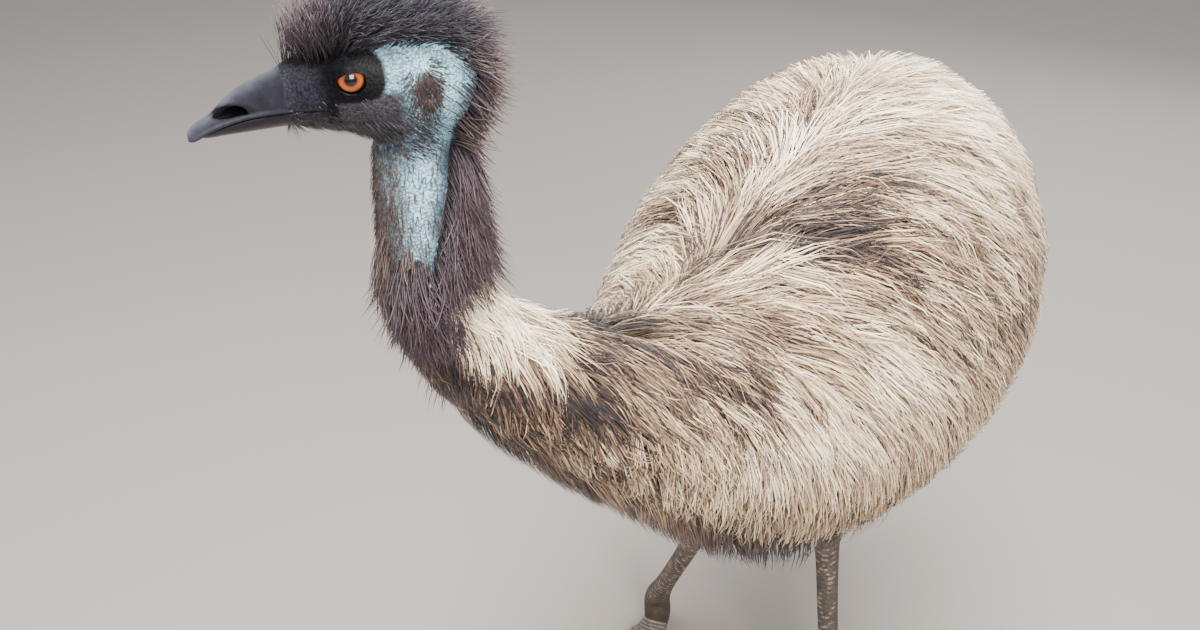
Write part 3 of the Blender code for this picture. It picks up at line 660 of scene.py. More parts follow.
def feather_blades(name, spine, outs, width, thickness, roll, colours, roots, mix):
    """One piece of many thin closed blades: three points round each station of
    a spine and a tip, with the OFBake patch of each at its root's place."""
    steps, count = len(spine) - 1, spine.shape[1]
    run = unit(np.concatenate((spine[1:] - spine[:-1], spine[-1:] - spine[-2:-1])))
    side = unit(np.cross(outs, run))
    out = np.cross(run, side)
    c, s = np.cos(roll)[None, :, None], np.sin(roll)[None, :, None]
    side, out = side * c + out * s, out * c - side * s
    points = np.empty((count, 3 * steps + 1, 3))
    for k in range(steps):
        t = k / steps
        half = side[k] * (0.5 * width * (0.55 + 1.25 * t - 1.70 * t * t))[:, None]
        ridge = out[k] * (thickness * (1.0 - 0.6 * t))[:, None]
        points[:, 3 * k] = spine[k] - half - ridge * 0.3
        points[:, 3 * k + 1] = spine[k] + ridge
        points[:, 3 * k + 2] = spine[k] + half - ridge * 0.3
    points[:, -1] = spine[steps]
    tip = 3 * steps
    faces = [(k + 3 + j, k + 3 + (j + 1) % 3, k + (j + 1) % 3, k + j)
             for k in range(0, tip - 3, 3) for j in range(3)]
    faces += [(1, 2, 0)] + [(tip, tip - 3 + (j + 1) % 3, tip - 3 + j) for j in range(3)]
    corners = np.array([v for face in faces for v in face])
    every = (corners[None, :] + (tip + 1) * np.arange(count)[:, None]).ravel()
    sizes = np.tile([len(face) for face in faces], count)
    made = placed(name, bpy.data.meshes.new(name))
    mesh = made.data
    mesh.vertices.add(count * (tip + 1))
    move_points(made, points)
    mesh.loops.add(len(every))
    mesh.loops.foreach_set("vertex_index", every.astype(np.int32))
    mesh.polygons.add(len(sizes))
    mesh.polygons.foreach_set("loop_start", (np.cumsum(sizes) - sizes).astype(np.int32))
    mesh.polygons.foreach_set("loop_total", sizes.astype(np.int32))
    mesh.update(calc_edges=True)
    mesh.validate()
    mesh.shade_smooth()
    station = np.append(np.repeat(np.arange(steps), 3), steps)
    keep_colours(made, colours[:, station].reshape(-1, 3))
    patch = [((j - 1) * PATCH_SIZE / 2, (k / steps - 0.5) * PATCH_SIZE)
             for k in range(steps) for j in range(3)] + [(0.0, PATCH_SIZE / 2)]
    patch = roots[:, None] + np.array(patch)
    bake = mesh.uv_layers.new(name="OFBake")
    bake.data.foreach_set("uv", patch.reshape(-1, 2)[every].astype(np.float32).ravel())
    mix.cover(made)
    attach(made, "root")
    return made


PATCH_SIZE = 0.003
line_length = np.concatenate(([0], np.cumsum(np.linalg.norm(np.diff(line_points, axis=0), axis=1))))


def unwrapped(at, turn):
    """The place of a root on the unrolled skin of the body."""
    far = np.interp(at, line_fine, line_length) / line_length[-1]
    return np.stack((0.02 + 0.96 * (turn / (2 * math.pi) + 0.5), 0.02 + 0.96 * far), -1)


def sown(rng, count, low, high, turn_low, turn_high):
    """Roots spread evenly over a stretch of the skin."""

    def tried(number):
        at, turn = rng.uniform(low, high, number), rng.uniform(turn_low, turn_high, number)
        along, around, _ = surface_run(at, turn)
        return at, turn, np.linalg.norm(np.cross(along, around), axis=-1)

    most = tried(4000)[2].max()
    ats, turns = np.empty(0), np.empty(0)
    while len(ats) < count:
        at, turn, area = tried(4 * count)
        keep = rng.uniform(0, 1, len(at)) < area / most
        ats, turns = np.append(ats, at[keep]), np.append(turns, turn[keep])
    return ats[:count], turns[:count]


def body_reach(at):
    """How long the feathers are: 13 to 16 cm on the body, shorter up the neck."""
    return np.interp(at, (0.5, 3.0, 6.0, 8.0, 10.0, 11.5), (0.165, 0.150, 0.134, 0.096, 0.062, 0.042))


def body_width(at):
    return np.interp(at, (0.5, 6.0, 8.5, 10.0, 11.5), (0.0018, 0.0016, 0.0014, 0.0013, 0.0011)) / share ** 0.4


def feather_coat(name, seed, count, locks, low, high, turn_low, turn_high):
    """A stretch of the body's coat: feathers laid on the skin, drawn together in
    locks, cream to black, the darkest ones scattered between the others."""
    rng = np.random.default_rng(seed)
    count, steps = int(count * share), 3
    lock_at, lock_turn = sown(rng, locks, low, high, turn_low, turn_high)
    depth = smooth_rows(LINE, lock_at)[:, 7]
    lock_wild = 0.05 + 1.0 * wildness(lock_at, lock_turn)
    lock_swing, lock_curl = rng.normal(0, 0.15, locks) * lock_wild, rng.normal(0, 0.30, locks) * lock_wild
    guide_length = body_reach(lock_at) * rng.uniform(0.85, 1.25, locks)
    guides, _ = laid_feathers(lock_at, lock_turn, guide_length, depth * 0.56, 0.2 * depth,
                              lock_swing, lock_curl, steps)
    at, turn = sown(rng, count, low, high, turn_low, turn_high)
    depth = smooth_rows(LINE, at)[:, 7]
    which = nearest(body_surface(at, turn), body_surface(lock_at, lock_turn))
    length = body_reach(at) * rng.uniform(0.72, 1.25, count)
    lift = depth * CORE_SHARE * rng.uniform(0.70, 1.50, count)
    length *= np.interp(np.abs((turn + math.pi) % (2 * math.pi) - math.pi), (2.2, 2.8), (1.0, 0.62))
    wild = wildness(at, turn)
    swing = lock_swing[which] + rng.normal(0, 0.07, count)
    curl = lock_curl[which] + rng.normal(0, 0.18, count) * (0.15 + 0.85 * wild)
    spine, outs = laid_feathers(at, turn, length, lift, np.full(count, 0.004), swing, curl, steps)
    pull = rng.uniform(0.35, 0.75, count) * (0.55 + 0.45 * wild)
    t = np.linspace(0, 1, steps + 1)
    spine += (guides[:, which] - spine) * (pull * t[:, None] ** 1.4)[..., None]
    mixed = rng.normal(0, 0.16, locks)[which] * (0.6 + 0.4 * (at < 8.5)) + rng.normal(0, 0.08, count)
    tone = plumage_tone(at, turn) + mixed * wild
    tone -= 0.38 * (rng.uniform(0, 1, count) < 0.05 + 0.20 * wild)
    black = rng.uniform(0, 1, count) < black_share(at, turn)
    tip_dark = rng.uniform(0.0, 0.34, count) * wild
    # each feather is painted darker towards its root: painted shadow of the feathers lying over it
    shade = tone[:, None] - 0.12 * (1 - t) ** 2 - tip_dark[:, None] * t ** 2
    shade -= 0.5 * black[:, None] * np.minimum(1.0, 0.4 + t)
    wide = body_width(at) * rng.uniform(0.7, 1.3, count)
    roll = rng.normal(0, 0.16, count)
    made = feather_blades(name, spine, outs, wide, 0.12 * wide, roll, tone_colour(shade),
                          unwrapped(at, turn), plume)
    made.data.shade_flat()


plume = Mix("feathers")
barbs = plume.noise(1400, 2)
mottle = plume.times(plume.marks, plume.mottled(70, 0.88, 1.10, 4))
plume.finish(plume.times(mottle, plume.ramp(barbs, (0.3, 0.88), (0.7, 1.08))), plume.mottled(240, 0.50, 0.72),
             plume.bump(barbs, 0.35, 0.0005), 0.3, Sheen_Weight=0.15, Sheen_Roughness=0.4)
# Each stretch: its name, seed, feathers, locks, and where it starts and ends on
# the line and round the body.
feather_coat("back_left", 1, 9800, 330, 1.2, 8.6, 0.0, 1.05)
feather_coat("back_right", 2, 9800, 330, 1.2, 8.6, -1.05, 0.0)
feather_coat("flank_left", 3, 9800, 330, 1.2, 8.6, 1.05, 2.1)
feather_coat("flank_right", 4, 9000, 330, 1.2, 8.6, -2.1, -1.05)
feather_coat("belly", 5, 7400, 300, 1.2, 8.6, 2.1, 4.18)
feather_coat("rump", 6, 7500, 190, 0.15, 1.6, -math.pi, math.pi)
feather_coat("lower_neck", 7, 10800, 540, 8.2, 12.35, -math.pi, math.pi)


# The hair-like feathers of head and neck: a curled dark mane down the nape, a
# loose crest on forehead and crown, a whorl round the ear, and short bristles
# on cheeks, brow, throat and the bare neck.  Each is a thin closed blade that
# leaves the skin, leans over the way it lies and curls at its tip.
FORWARD, LEFT, UPWARD = (np.array(v) for v in (HEAD_FORWARD, HEAD_LEFT, HEAD_UP))


class Spots:
    """Places on the skin: where they are on the head and on the neck."""

    def __init__(self, points, normals):
        self.points, self.normals = points, normals
        self.f, self.s, self.u = head_parts(points)
        self.at, self.turn = place_on_line(points)
        self.head = step_up(self.u, -0.058, -0.050) * (self.f > -0.1)
        self.neck = 1 - self.head
        self.open = np.ones(len(points))
        for side in (1, -1):
            ear = head_point(EAR_AT[0], EAR_AT[1] * side, EAR_AT[2])
            for hole, clear in ((eye_centre(side), EYE_RADIUS + 0.0030), (ear, 0.0030)):
                self.open *= np.linalg.norm(points - np.array(hole), axis=1) > clear


class Sites:
    """The triangles of the bare skin, as places where hair can grow."""

    def __init__(self, piece, lowest):
        mesh = piece.data
        mesh.calc_loop_triangles()
        corners = np.empty(3 * len(mesh.loop_triangles), np.int32)
        mesh.loop_triangles.foreach_get("vertices", corners)
        corners = corners.reshape(-1, 3)
        points = points_of(piece)[corners]
        high = points.mean(1)[:, 2] > lowest
        self.points, self.normals = points[high], points_of(piece, "normal")[corners[high]]
        a, b, c = self.points[:, 0], self.points[:, 1], self.points[:, 2]
        self.area = np.linalg.norm(np.cross(b - a, c - a), axis=1)
        self.about = Spots(self.points.mean(1), unit(self.normals.mean(1)))

    def pick(self, rng, count, weight):
        chance = self.area * np.clip(weight(self.about), 0, 1)
        chosen = rng.choice(len(chance), count, p=chance / chance.sum())
        a, b = rng.uniform(0, 1, count), rng.uniform(0, 1, count)
        a, b = np.where(a + b > 1, 1 - a, a), np.where(a + b > 1, 1 - b, b)
        parts = np.stack((1 - a - b, a, b), 1)[..., None]
        return Spots((self.points[chosen] * parts).sum(1), unit((self.normals[chosen] * parts).sum(1)))


def grown(count, weight, lie, length, width, stand, bend, curl, root_paint, tip_paint, steps, droop=0.2):
    """Spines and colours of loose hairs on the skin."""
    count = int(count * share)
    spots = sites.pick(rng, count, weight)
    way = lie(spots)
    way = unit(way - spots.normals * (way * spots.normals).sum(-1, keepdims=True))
    heading = unit(way + spots.normals * (stand * rng.uniform(0.6, 1.3, count))[:, None])
    side = unit(np.cross(spots.normals, way))
    sway = rng.normal(0, 0.55, count)
    step_length = (length(spots) * rng.uniform(0.65, 1.25, count) / steps)[:, None]
    turned = rng.uniform(0.5, 1.4, count)
    place = spots.points - spots.normals * 0.0012
    spine, outs = [place], [np.cross(heading, side)]
    for k in range(steps):
        t = (k + 0.5) / steps
        place = place + heading * step_length
        over = (bend + curl * turned * t * t) / steps
        heading = unit(heading + np.cross(heading, side) * over[:, None] + side * (sway / steps)[:, None]
                       + DOWN * (droop / steps))
        spine.append(place)
        outs.append(np.cross(heading, side))
    colours = shaded(rng, count, root_paint, tip_paint, steps, 0.65)
    far = np.where(spots.head > 0.5, spots.u - 0.02 * spots.f, -0.06 - 0.1 * (14 - spots.at))
    round_head = np.where(spots.head > 0.5, np.arctan2(spots.s, spots.f + 0.03), spots.turn)
    round_head = 0.02 + 0.96 * (round_head / (2 * math.pi) + 0.5)
    bake = np.stack((round_head, np.clip(0.75 + 2.4 * far, 0.02, 0.98)), -1)
    return np.array(spine), np.array(outs), width * rng.uniform(0.7, 1.3, count), colours, bake


def shaded(rng, count, root_paint, tip_paint, steps, darkest):
    """Colours from root to tip, each blade lighter or darker than the next."""
    tint = rng.uniform(darkest, 1.35, count)[:, None, None]
    t = np.linspace(0, 1, steps + 1)[None, :, None]
    return (root_paint * (1 - t) + tip_paint * t) * tint


def hair_piece(name, slot, *kinds):
    """One piece of all its kinds of hair."""
    spine, outs, wide, colours, bake = (
        np.concatenate(column, axis=1 if i < 2 else 0) for i, column in enumerate(zip(*kinds)))
    roll = rng.normal(0, 0.5, len(wide))
    feather_blades(name, spine, outs, wide, 0.22 * wide, roll, colours, bake, hair)


def mane_edge(at):
    """How far round the neck the mane reaches from the nape."""
    return np.interp(at, (11.9, 12.3, 12.7, 13.2, 13.7), (1.65, 1.30, 0.98, 0.70, 0.55))


def back_of_head(spots):
    return spots.head * near(spots.s, 0.0, 0.013) * step_up(-spots.f, 0.048, 0.066)


def crown(spots):
    faces_up = step_up((spots.normals * UPWARD).sum(-1), 0.50, 0.72)
    return spots.head * faces_up * step_up(spots.u, 0.006, 0.014)


def down_neck(spots):
    """Down the neck towards the body."""
    ahead = smooth_rows(LINE, spots.at + 0.1)[:, :3] - smooth_rows(LINE, spots.at - 0.1)[:, :3]
    return -unit(ahead)


def hair_lie(spots):
    """Forward and up on the forehead, back over the crown, down the nape."""
    fore = step_up(spots.f, -0.004, 0.016)[:, None]
    nape = step_up(-spots.f, 0.040, 0.066)[:, None]
    over = UPWARD * (0.4 + 0.9 * fore) - FORWARD * (0.9 - 0.8 * fore) + LEFT * (20 * spots.s)[:, None]
    behind = DOWN * 0.8 - FORWARD * 0.6
    way = over * (1 - nape) + behind * nape
    return np.where((spots.head > 0.5)[:, None], way, down_neck(spots))


def face_lie(spots):
    """Back and down over the cheeks and throat, back and up over the brow."""
    rise = np.where(spots.u > 0.0, 0.8, -0.7)[:, None]
    return -FORWARD + UPWARD * rise


def from_ear(spots):
    ahead, above = 80 * (spots.f - EAR_AT[0]) - 0.15, 40 * (spots.u - EAR_AT[2]) - 0.75
    return FORWARD * ahead[:, None] + UPWARD * above[:, None]


def ear_ring(spots):
    far = np.hypot((spots.f - EAR_AT[0]) / 0.60, (spots.u - EAR_AT[2] - 0.002) / 1.30)
    return spots.head * near(far, 0.0, 0.0085)


def cheek(spots):
    below = step_up(-spots.u, 0.008, 0.018) * step_up(spots.f, -0.052, -0.030)
    bare = 0.92 * step_up(spots.f, 0.000, 0.020) * step_up(spots.u, -0.026, -0.020)
    return spots.head * spots.open * below * (1 - bare)


def brow(spots):
    above = step_up(spots.u, 0.013, 0.019) * (1 - 0.7 * step_up(-spots.f, 0.035, 0.055))
    return spots.head * spots.open * above


def behind_eye(spots):
    return spots.head * spots.open * step_up(-spots.f, 0.020, 0.030) * step_up(spots.u, -0.040, -0.010)


def neck_front(spots):
    front = step_up(np.abs(spots.turn), 1.7, 2.4)
    low = 0.6 * step_up(12.6 - spots.at, 0.0, 1.0)
    under_mane = np.abs(spots.turn) > mane_edge(spots.at) - 0.1
    return spots.neck * np.clip(0.22 + front + 0.5 * low, 0, 1) * under_mane


def on_nape(spots):
    """The mane proper, with a black band that runs on down both sides."""
    turn = np.abs(spots.turn)
    band = near(turn, 1.95, 0.36) * step_up(spots.at, 11.4, 11.75) * (spots.at < 12.4)
    start = np.interp(turn, (0.6, 1.5), (12.55, 12.1))
    return spots.neck * np.clip((turn < mane_edge(spots.at)) * (spots.at > start) + band, 0, 1)


def brown_sides(spots):
    """Brown hairs beside the blue strip, where it runs out."""
    turn, at = np.abs(spots.turn), spots.at
    strip = 1 - 0.9 * near(turn, 2.25, 0.22) * step_up(at, 11.5, 12.2)
    along = near(turn, 2.45, 0.55) * step_up(at, 11.4, 11.8) * step_up(12.9 - at, 0, 1.2)
    return spots.neck * along * strip


sites = Sites(skin, 0.98)
hair = Mix("hair_feathers")
hair.finish(hair.times(hair.marks, hair.mottled(160, 0.72, 1.25)), hair.mottled(400, 0.40, 0.62),
            hair.bump(hair.noise(1800, 2), 0.3, 0.0003), 0.4)
SLATE, MANE, MANE_TIP, FRINGE, UMBER, STUBBLE, PALE = (paint_values(*paint) for paint in (
    (30, 28, 34), (25, 20, 26), (80, 64, 69), (118, 98, 92), (62, 46, 40), (74, 69, 73), (170, 190, 196)))
rng = np.random.default_rng(21)
# Each kind of hair: how many, where, which way they lie, how long and wide they
# are, how they stand, bend and curl, their paints, and the steps of a blade.
hair_piece(
    "mane", "plumage_neck",
    grown(4300, on_nape, hair_lie, lambda p: np.interp(p.at, (11.4, 12.5, 13.8), (0.030, 0.052, 0.043)),
          0.0013, 0.85, -1.3, 6.2, MANE, MANE_TIP, 4, 0.1),
    grown(1100, back_of_head, hair_lie, lambda p: 0.031, 0.0010, 0.9, -1.2, 7.0, MANE, MANE_TIP, 4, 0.1))
hair_piece(
    "crest", "head_skin",
    grown(2300, lambda p: crown(p) * (1 - 0.72 * step_up(p.f, 0.000, 0.018)), hair_lie, lambda p: 0.033,
          0.0009, 1.7, -0.5, -0.8, SLATE, SLATE * 2.0, 4, 0.1),
    grown(620, lambda p: crown(p) * step_up(p.f, -0.004, 0.012), hair_lie,
          lambda p: 0.034 + 0.2 * (0.03 - p.f), 0.0008, 2.0, 0.3, -1.6, SLATE * 1.2, MANE_TIP, 4, 0.0),
    grown(500, back_of_head, hair_lie, lambda p: 0.030, 0.0010, 1.5, -0.2, 3.0, MANE, FRINGE, 4, 0.1))
hair_piece(
    "face_bristles", "head_skin",
    grown(1300, ear_ring, from_ear, lambda p: 0.0110, 0.0007, 0.34, -0.30, 0.2,
          UMBER * 0.3, FRINGE * 0.55, 2, 0.0),
    grown(3800, cheek, face_lie, lambda p: 0.0060 + 0.006 * (p.u < -0.026), 0.0007, 0.50, -0.3, 0.3,
          STUBBLE * 0.4, STUBBLE * 0.8, 2),
    grown(2200, brow, face_lie, lambda p: 0.0100, 0.0008, 0.7, -0.3, 0.0, SLATE * 0.7, STUBBLE * 0.6, 2),
    grown(1300, behind_eye, face_lie, lambda p: 0.0050, 0.0006, 0.20, -0.1, 0.0, PALE * 0.6, PALE, 2))
hair_piece(
    "neck_hairs", "neck_skin",
    grown(4600, neck_front, down_neck, lambda p: np.interp(p.at, (11.3, 12.2, 13.6), (0.026, 0.016, 0.011)),
          0.0009, 0.45, -0.35, 0.6, STUBBLE * 0.6, UMBER * 1.8, 3),
    grown(1600, brown_sides, down_neck, lambda p: 0.030, 0.0013, 0.50, -0.5, 0.8,
          UMBER * 0.9, FRINGE * 0.9, 3))


# The bill: two halves of slate-black horn with a worn bloom, painted highlights
# along the ridge and just over the edge of the mouth, and painted shade inside
# the nostrils.  The upper one is drawn out from the face to a hooked nail, with a
# raised ridge, a long nostril under a rim, and a groove above its edge; the lower
# one is a shallow trough.
# Sections of each half: forward, half width, top and bottom.
BILL_UPPER = np.array((
    (0.0330, 0.0198, 0.0108, -0.0170),
    (0.0410, 0.0197, 0.0090, -0.0173),
    (0.0480, 0.0183, 0.0056, -0.0178),
    (0.0600, 0.0158, 0.0014, -0.0190),
    (0.0720, 0.0132, -0.0036, -0.0209),
    (0.0830, 0.0110, -0.0108, -0.0238),
    (0.0930, 0.0089, -0.0184, -0.0272),
    (0.1000, 0.0069, -0.0215, -0.0308),
    (0.1050, 0.0050, -0.0246, -0.0327),
    (0.1080, 0.0022, -0.0286, -0.0326),
))
BILL_LOWER = np.array((
    (0.0330, 0.0191, -0.0178, -0.0300),
    (0.0410, 0.0190, -0.0181, -0.0306),
    (0.0520, 0.0167, -0.0190, -0.0310),
    (0.0680, 0.0136, -0.0210, -0.0316),
    (0.0840, 0.0101, -0.0248, -0.0320),
    (0.0950, 0.0062, -0.0288, -0.0326),
    (0.0985, 0.0024, -0.0308, -0.0324),
))
NOSTRIL_AT = (0.0780, -0.0177)
NOSTRIL_SLOPE = math.radians(-5)
NOSTRIL_HALF = (0.0128, 0.0070)
NOSTRIL_FLAT = 0.16


def from_nostril(f, u):
    """Distances from the nostril, counted in its own half sizes."""
    df, du = f - NOSTRIL_AT[0], u - NOSTRIL_AT[1]
    along = df * math.cos(NOSTRIL_SLOPE) + du * math.sin(NOSTRIL_SLOPE)
    across = du * math.cos(NOSTRIL_SLOPE) - df * math.sin(NOSTRIL_SLOPE)
    return along / NOSTRIL_HALF[0], across / (NOSTRIL_HALF[1] * np.where(across > 0, 1.0, NOSTRIL_FLAT))


def upper_bill_point(at, angle):
    f, half, top, mouth = smooth_rows(BILL_UPPER, at)
    side, rise = math.sin(angle), math.cos(angle)
    height = mouth + max(rise, 0.0) ** 1.4 * (top - mouth) + 0.0006 * min(rise, 0.0)
    along, across = from_nostril(f, height)
    hollow = 0.0010 * near(height, NOSTRIL_AT[1] + 0.0012, 0.0072)
    hollow *= step_up(f, 0.050, 0.062) * (1 - step_up(f, 0.090, 0.098))
    rim = 0.0006 * near(math.hypot(along, across), 1.30, 0.28) * min(4 * max(across, 0.0), 1.0)
    groove = 0.0004 * near(height, mouth + 0.0021, 0.0005) * (1 - step_up(f, 0.080, 0.092)) * (rise > 0)
    ridge = 0.0005 * near(angle - 2 * math.pi * (angle > math.pi), 0, 0.30) * step_up(f, 0.045, 0.060)
    inward = math.copysign(hollow - rim + groove, side) * (abs(side) > 0.25)
    return head_point(f, half * side - inward, height + ridge)


def lower_bill_point(at, angle):
    f, half, mouth, under = smooth_rows(BILL_LOWER, at)
    side, rise = math.sin(angle), math.cos(angle)
    height = mouth - max(-rise, 0.0) ** 1.1 * (mouth - under)
    return head_point(f, half * side * (1 - 0.10 * max(rise, 0.0)), height - 0.0004 * max(rise, 0.0))


def bill_rings(point, last, steps, around):
    return [[point(last * (k / steps) ** 0.95, a) for a in round_turn(around)] for k in range(steps + 1)]


bill_upper = drawn_out("horn_bill_upper", bill_rings(upper_bill_point, len(BILL_UPPER) - 1, 110, 112))
bill_lower = drawn_out("horn_bill_lower", bill_rings(lower_bill_point, len(BILL_LOWER) - 1, 60, 64))
along = HEAD_FORWARD * math.cos(NOSTRIL_SLOPE) + HEAD_UP * math.sin(NOSTRIL_SLOPE)
rise = along.cross(HEAD_LEFT)
nostrils = []
for side in (1, -1):
    place = head_point(NOSTRIL_AT[0], 0.0108 * side, NOSTRIL_AT[1])
    nostril = ball("nostril", place, (NOSTRIL_HALF[0] * 0.95, 0.0052, NOSTRIL_HALF[1] * 0.95),
                   (along, HEAD_LEFT, rise), 40, 24)
    points = points_of(nostril)
    below = np.minimum((points - np.array(place)) @ np.array(rise), 0) * (NOSTRIL_FLAT - 1)
    move_points(nostril, points + below[:, None] * np.array(rise))
    nostrils.append(nostril)
fuse(bill_upper, "DIFFERENCE", nostrils)

horn = Mix("bill_horn")
horn.finish(horn.times(horn.marks, horn.ramp(horn.noise(90, 6, 0.65), (0.30, 0.70), (0.72, 1.45))),
            horn.mottled(260, 0.27, 0.44, 4),
            horn.bump(horn.noise(1500, 3), 0.25, 0.0003, horn.bump(horn.noise(300, 4), 0.35, 0.0006)),
            horn.ramp(horn.lightness, (0.0035, 0.0), (0.0060, 0.24)))
HORN, HORN_PALE, NOSTRIL_SHADE = (paint_values(*paint) for paint in ((22, 21, 27), (60, 62, 70), (7, 6, 8)))
for piece, node in ((bill_upper, "bill_upper"), (bill_lower, "bill_lower")):
    f, s, u = head_parts(points_of(piece))
    # the inside of each nostril is painted near black: painted shade in the hollow
    inside = (1 - step_up(np.hypot(*from_nostril(f, u)), 0.85, 1.1))[:, None] * (node == "bill_upper")
    mouth_line = np.interp(f, BILL_UPPER[:, 0], BILL_UPPER[:, 3])
    # the pale paint along the ridge and in a thin band just over the mouth edge is painted highlight; the tip
    # is painted paler too
    pale = np.maximum(0.85 * near(s, 0.0, 0.006) * step_up(f, 0.036, 0.050),
                      0.35 * step_up(f, 0.092, 0.104))
    pale = np.maximum(pale, 0.55 * near(u - mouth_line, 0.0024, 0.0010) * step_up(f, 0.036, 0.060))[:, None]
    keep_colours(piece, (HORN * (1 - pale) + HORN_PALE * pale) * (1 - inside) + NOSTRIL_SHADE * inside)
    horn.cover(piece)
    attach(piece, "root")
    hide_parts(node)


# The eyes: wet balls with a raised cornea over an amber iris, streaked from a
# round black pupil out to a dark rim.
IRIS_EDGE, PUPIL_EDGE = math.radians(45), math.radians(19)
wet = Mix("wet_eye")
wet.finish(wet.times(wet.marks, wet.mottled(900, 0.78, 1.20)), wet.mottled(300, 0.10, 0.18),
           wet.bump(wet.noise(500), 0.05, 0.0002), 0.5, Coat_Weight=0.22, Coat_Roughness=0.08)
PUPIL, AMBER, ORANGE, EYE_RIM = (
    paint_values(*paint) for paint in ((8, 7, 8), (182, 92, 36), (130, 54, 22), (20, 13, 11)))
for side, node in ((1, "eye_left"), (-1, "eye_right")):
    out = (HEAD_LEFT * side + HEAD_UP * 0.10).normalized()
    centre, up = eye_centre(side), out.cross(HEAD_FORWARD)
    eye = ball("wet_" + node, centre, (EYE_RADIUS,) * 3, (HEAD_FORWARD, up, out), 64, 64)
    points = points_of(eye) - np.array(centre)
    away = np.arccos(np.clip(unit(points) @ np.array(out), -1, 1))
    spin = np.arctan2(points @ np.array(up), points @ np.array(HEAD_FORWARD))
    bulge = 0.0008 * np.clip(1 - (away / IRIS_EDGE) ** 2, 0, 1)
    move_points(eye, points * (1 + bulge / EYE_RADIUS)[:, None] + np.array(centre))
    grain = 0.5 + 0.5 * np.sin(spin * 23 + 2.0 * np.sin(spin * 7))
    bright = step_up(away, PUPIL_EDGE, IRIS_EDGE * 0.72) * (0.70 + 0.30 * grain)
    iris = ORANGE + (AMBER - ORANGE) * bright[:, None]
    ring = step_up(away, IRIS_EDGE * 0.86, IRIS_EDGE)[:, None]
    middle = (1 - step_up(away, PUPIL_EDGE - 0.02, PUPIL_EDGE + 0.03))[:, None]
    keep_colours(eye, (iris * (1 - ring) + EYE_RIM * ring) * (1 - middle) + PUPIL * middle)
    wet.cover(eye)
    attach(eye, "root")
    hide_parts(node)


# The legs: one scaly skin each from the thigh under the coat to the toes, with
# broad scutes down the front of the shank and over the toes, small pebbly
# scales elsewhere, a knobbed hock, and three toes on flat soles.  Toes and joint
# are fused and softened, then every scute is raised and the sole is cut flat.
# Half width and half depth at the stations of both legs, from the thigh down,
# and the middle of each leg there.
LEG_HALVES = (
    (0.045, 0.060), (0.041, 0.052), (0.030, 0.036), (0.023, 0.028),
    (0.0240, 0.0295), (0.0178, 0.0213), (0.0153, 0.0178), (0.0163, 0.0183),
    (0.0218, 0.0218), (0.0232, 0.0232), (0.0215, 0.0215), (0.0180, 0.0180))
LEG_LINES = {
    "left": (
        (0.095, -0.035, 0.650), (0.090, 0.010, 0.570), (0.076, 0.062, 0.490), (0.062, 0.098, 0.425),
        (0.060, 0.102, 0.392), (0.066, 0.099, 0.345), (0.080, 0.097, 0.220), (0.093, 0.095, 0.120),
        (0.099, 0.094, 0.066), (0.099, 0.094, 0.036), (0.099, 0.094, 0.014), (0.099, 0.094, -0.003)),
    "right": (
        (-0.080, -0.060, 0.650), (-0.090, -0.035, 0.570), (-0.092, 0.005, 0.495), (-0.088, 0.030, 0.432),
        (-0.095, 0.036, 0.398), (-0.117, 0.058, 0.350), (-0.168, 0.112, 0.220), (-0.208, 0.153, 0.120),
        (-0.228, 0.172, 0.066), (-0.228, 0.172, 0.036), (-0.228, 0.172, 0.014), (-0.228, 0.172, -0.003)),
}
LEGS = {side: np.hstack((line, LEG_HALVES)) for side, line in LEG_LINES.items()}
HOCK = 3.3
# Of each toe: where it points, its length and its half width.
TOES = {
    "left": {"inner": (-24, 0.086, 0.0150), "middle": (2, 0.128, 0.0185), "outer": (27, 0.094, 0.0155)},
    "right": {"inner": (27, 0.086, 0.0150), "middle": (2, 0.128, 0.0185), "outer": (-24, 0.094, 0.0155)},
}
# Share of a toe's length, share of its width, height above the sole.
TOE_PADS = np.array((
    (0.0, 1.00, 0.0330),
    (0.22, 1.05, 0.0240),
    (0.38, 0.84, 0.0188),
    (0.52, 0.96, 0.0175),
    (0.68, 0.76, 0.0150),
    (0.82, 0.86, 0.0140),
    (1.0, 0.60, 0.0120),
))
CLAW_LENGTH = 0.030
CLAW_SHAPE = np.array((
    (-0.10, 0.86, 0.84), (0.15, 0.90, 0.94), (0.5, 0.64, 0.68), (0.85, 0.32, 0.36), (1.0, 0.06, 0.14)))
SCUTE, TOE_SCUTE, TOE_DEPTH = 0.0095, 0.0062, 0.0025
TOE_STEPS, CLAW_STEPS = 24, 16


def leg_run(side, at):
    """Centre, axis, left and front directions and half widths of a leg at a station."""
    row, above, below = (smooth_rows(LEGS[side], at + step) for step in (0, -0.05, 0.05))
    axis = Vector((below - above)[:3]).normalized()
    left = Vector((1.0, 0.0, 0.0))
    left = (left - axis * left.dot(axis)).normalized()
    return Vector(row[:3]) + SHIFT, axis, left, axis.cross(left), row[3], row[4]


def leg_steps(side, last, count):
    """Fine stations down a leg: centres, left and front directions, half widths
    and depths, and how far down each lies."""
    fine = np.linspace(0, last, count)
    spots = [leg_run(side, at) for at in fine]
    centres, lefts, fronts, wides, deeps = (
        np.array([np.array(spot[k]) for spot in spots]) for k in (0, 2, 3, 4, 5))
    walked = np.concatenate(([0], np.cumsum(np.linalg.norm(np.diff(centres, axis=0), axis=1))))
    return fine, centres, lefts, fronts, wides, deeps, walked


def leg_ring(side, at):
    centre, _, left, front, wide, deep = leg_run(side, at)
    return [centre + left * wide * math.cos(a) + front * deep * math.sin(a) for a in round_turn(36)]


def toe_run(side, name):
    """The root, heading and sideways direction of a toe, on the floor."""
    degrees = math.radians(TOES[side][name][0])
    heading = Vector((math.sin(degrees), -math.cos(degrees), 0.0))
    x, y = LEGS[side][-1][:2]
    return Vector((x, y, 0.0)) + SHIFT, heading, heading.cross(Vector((0, 0, -1)))


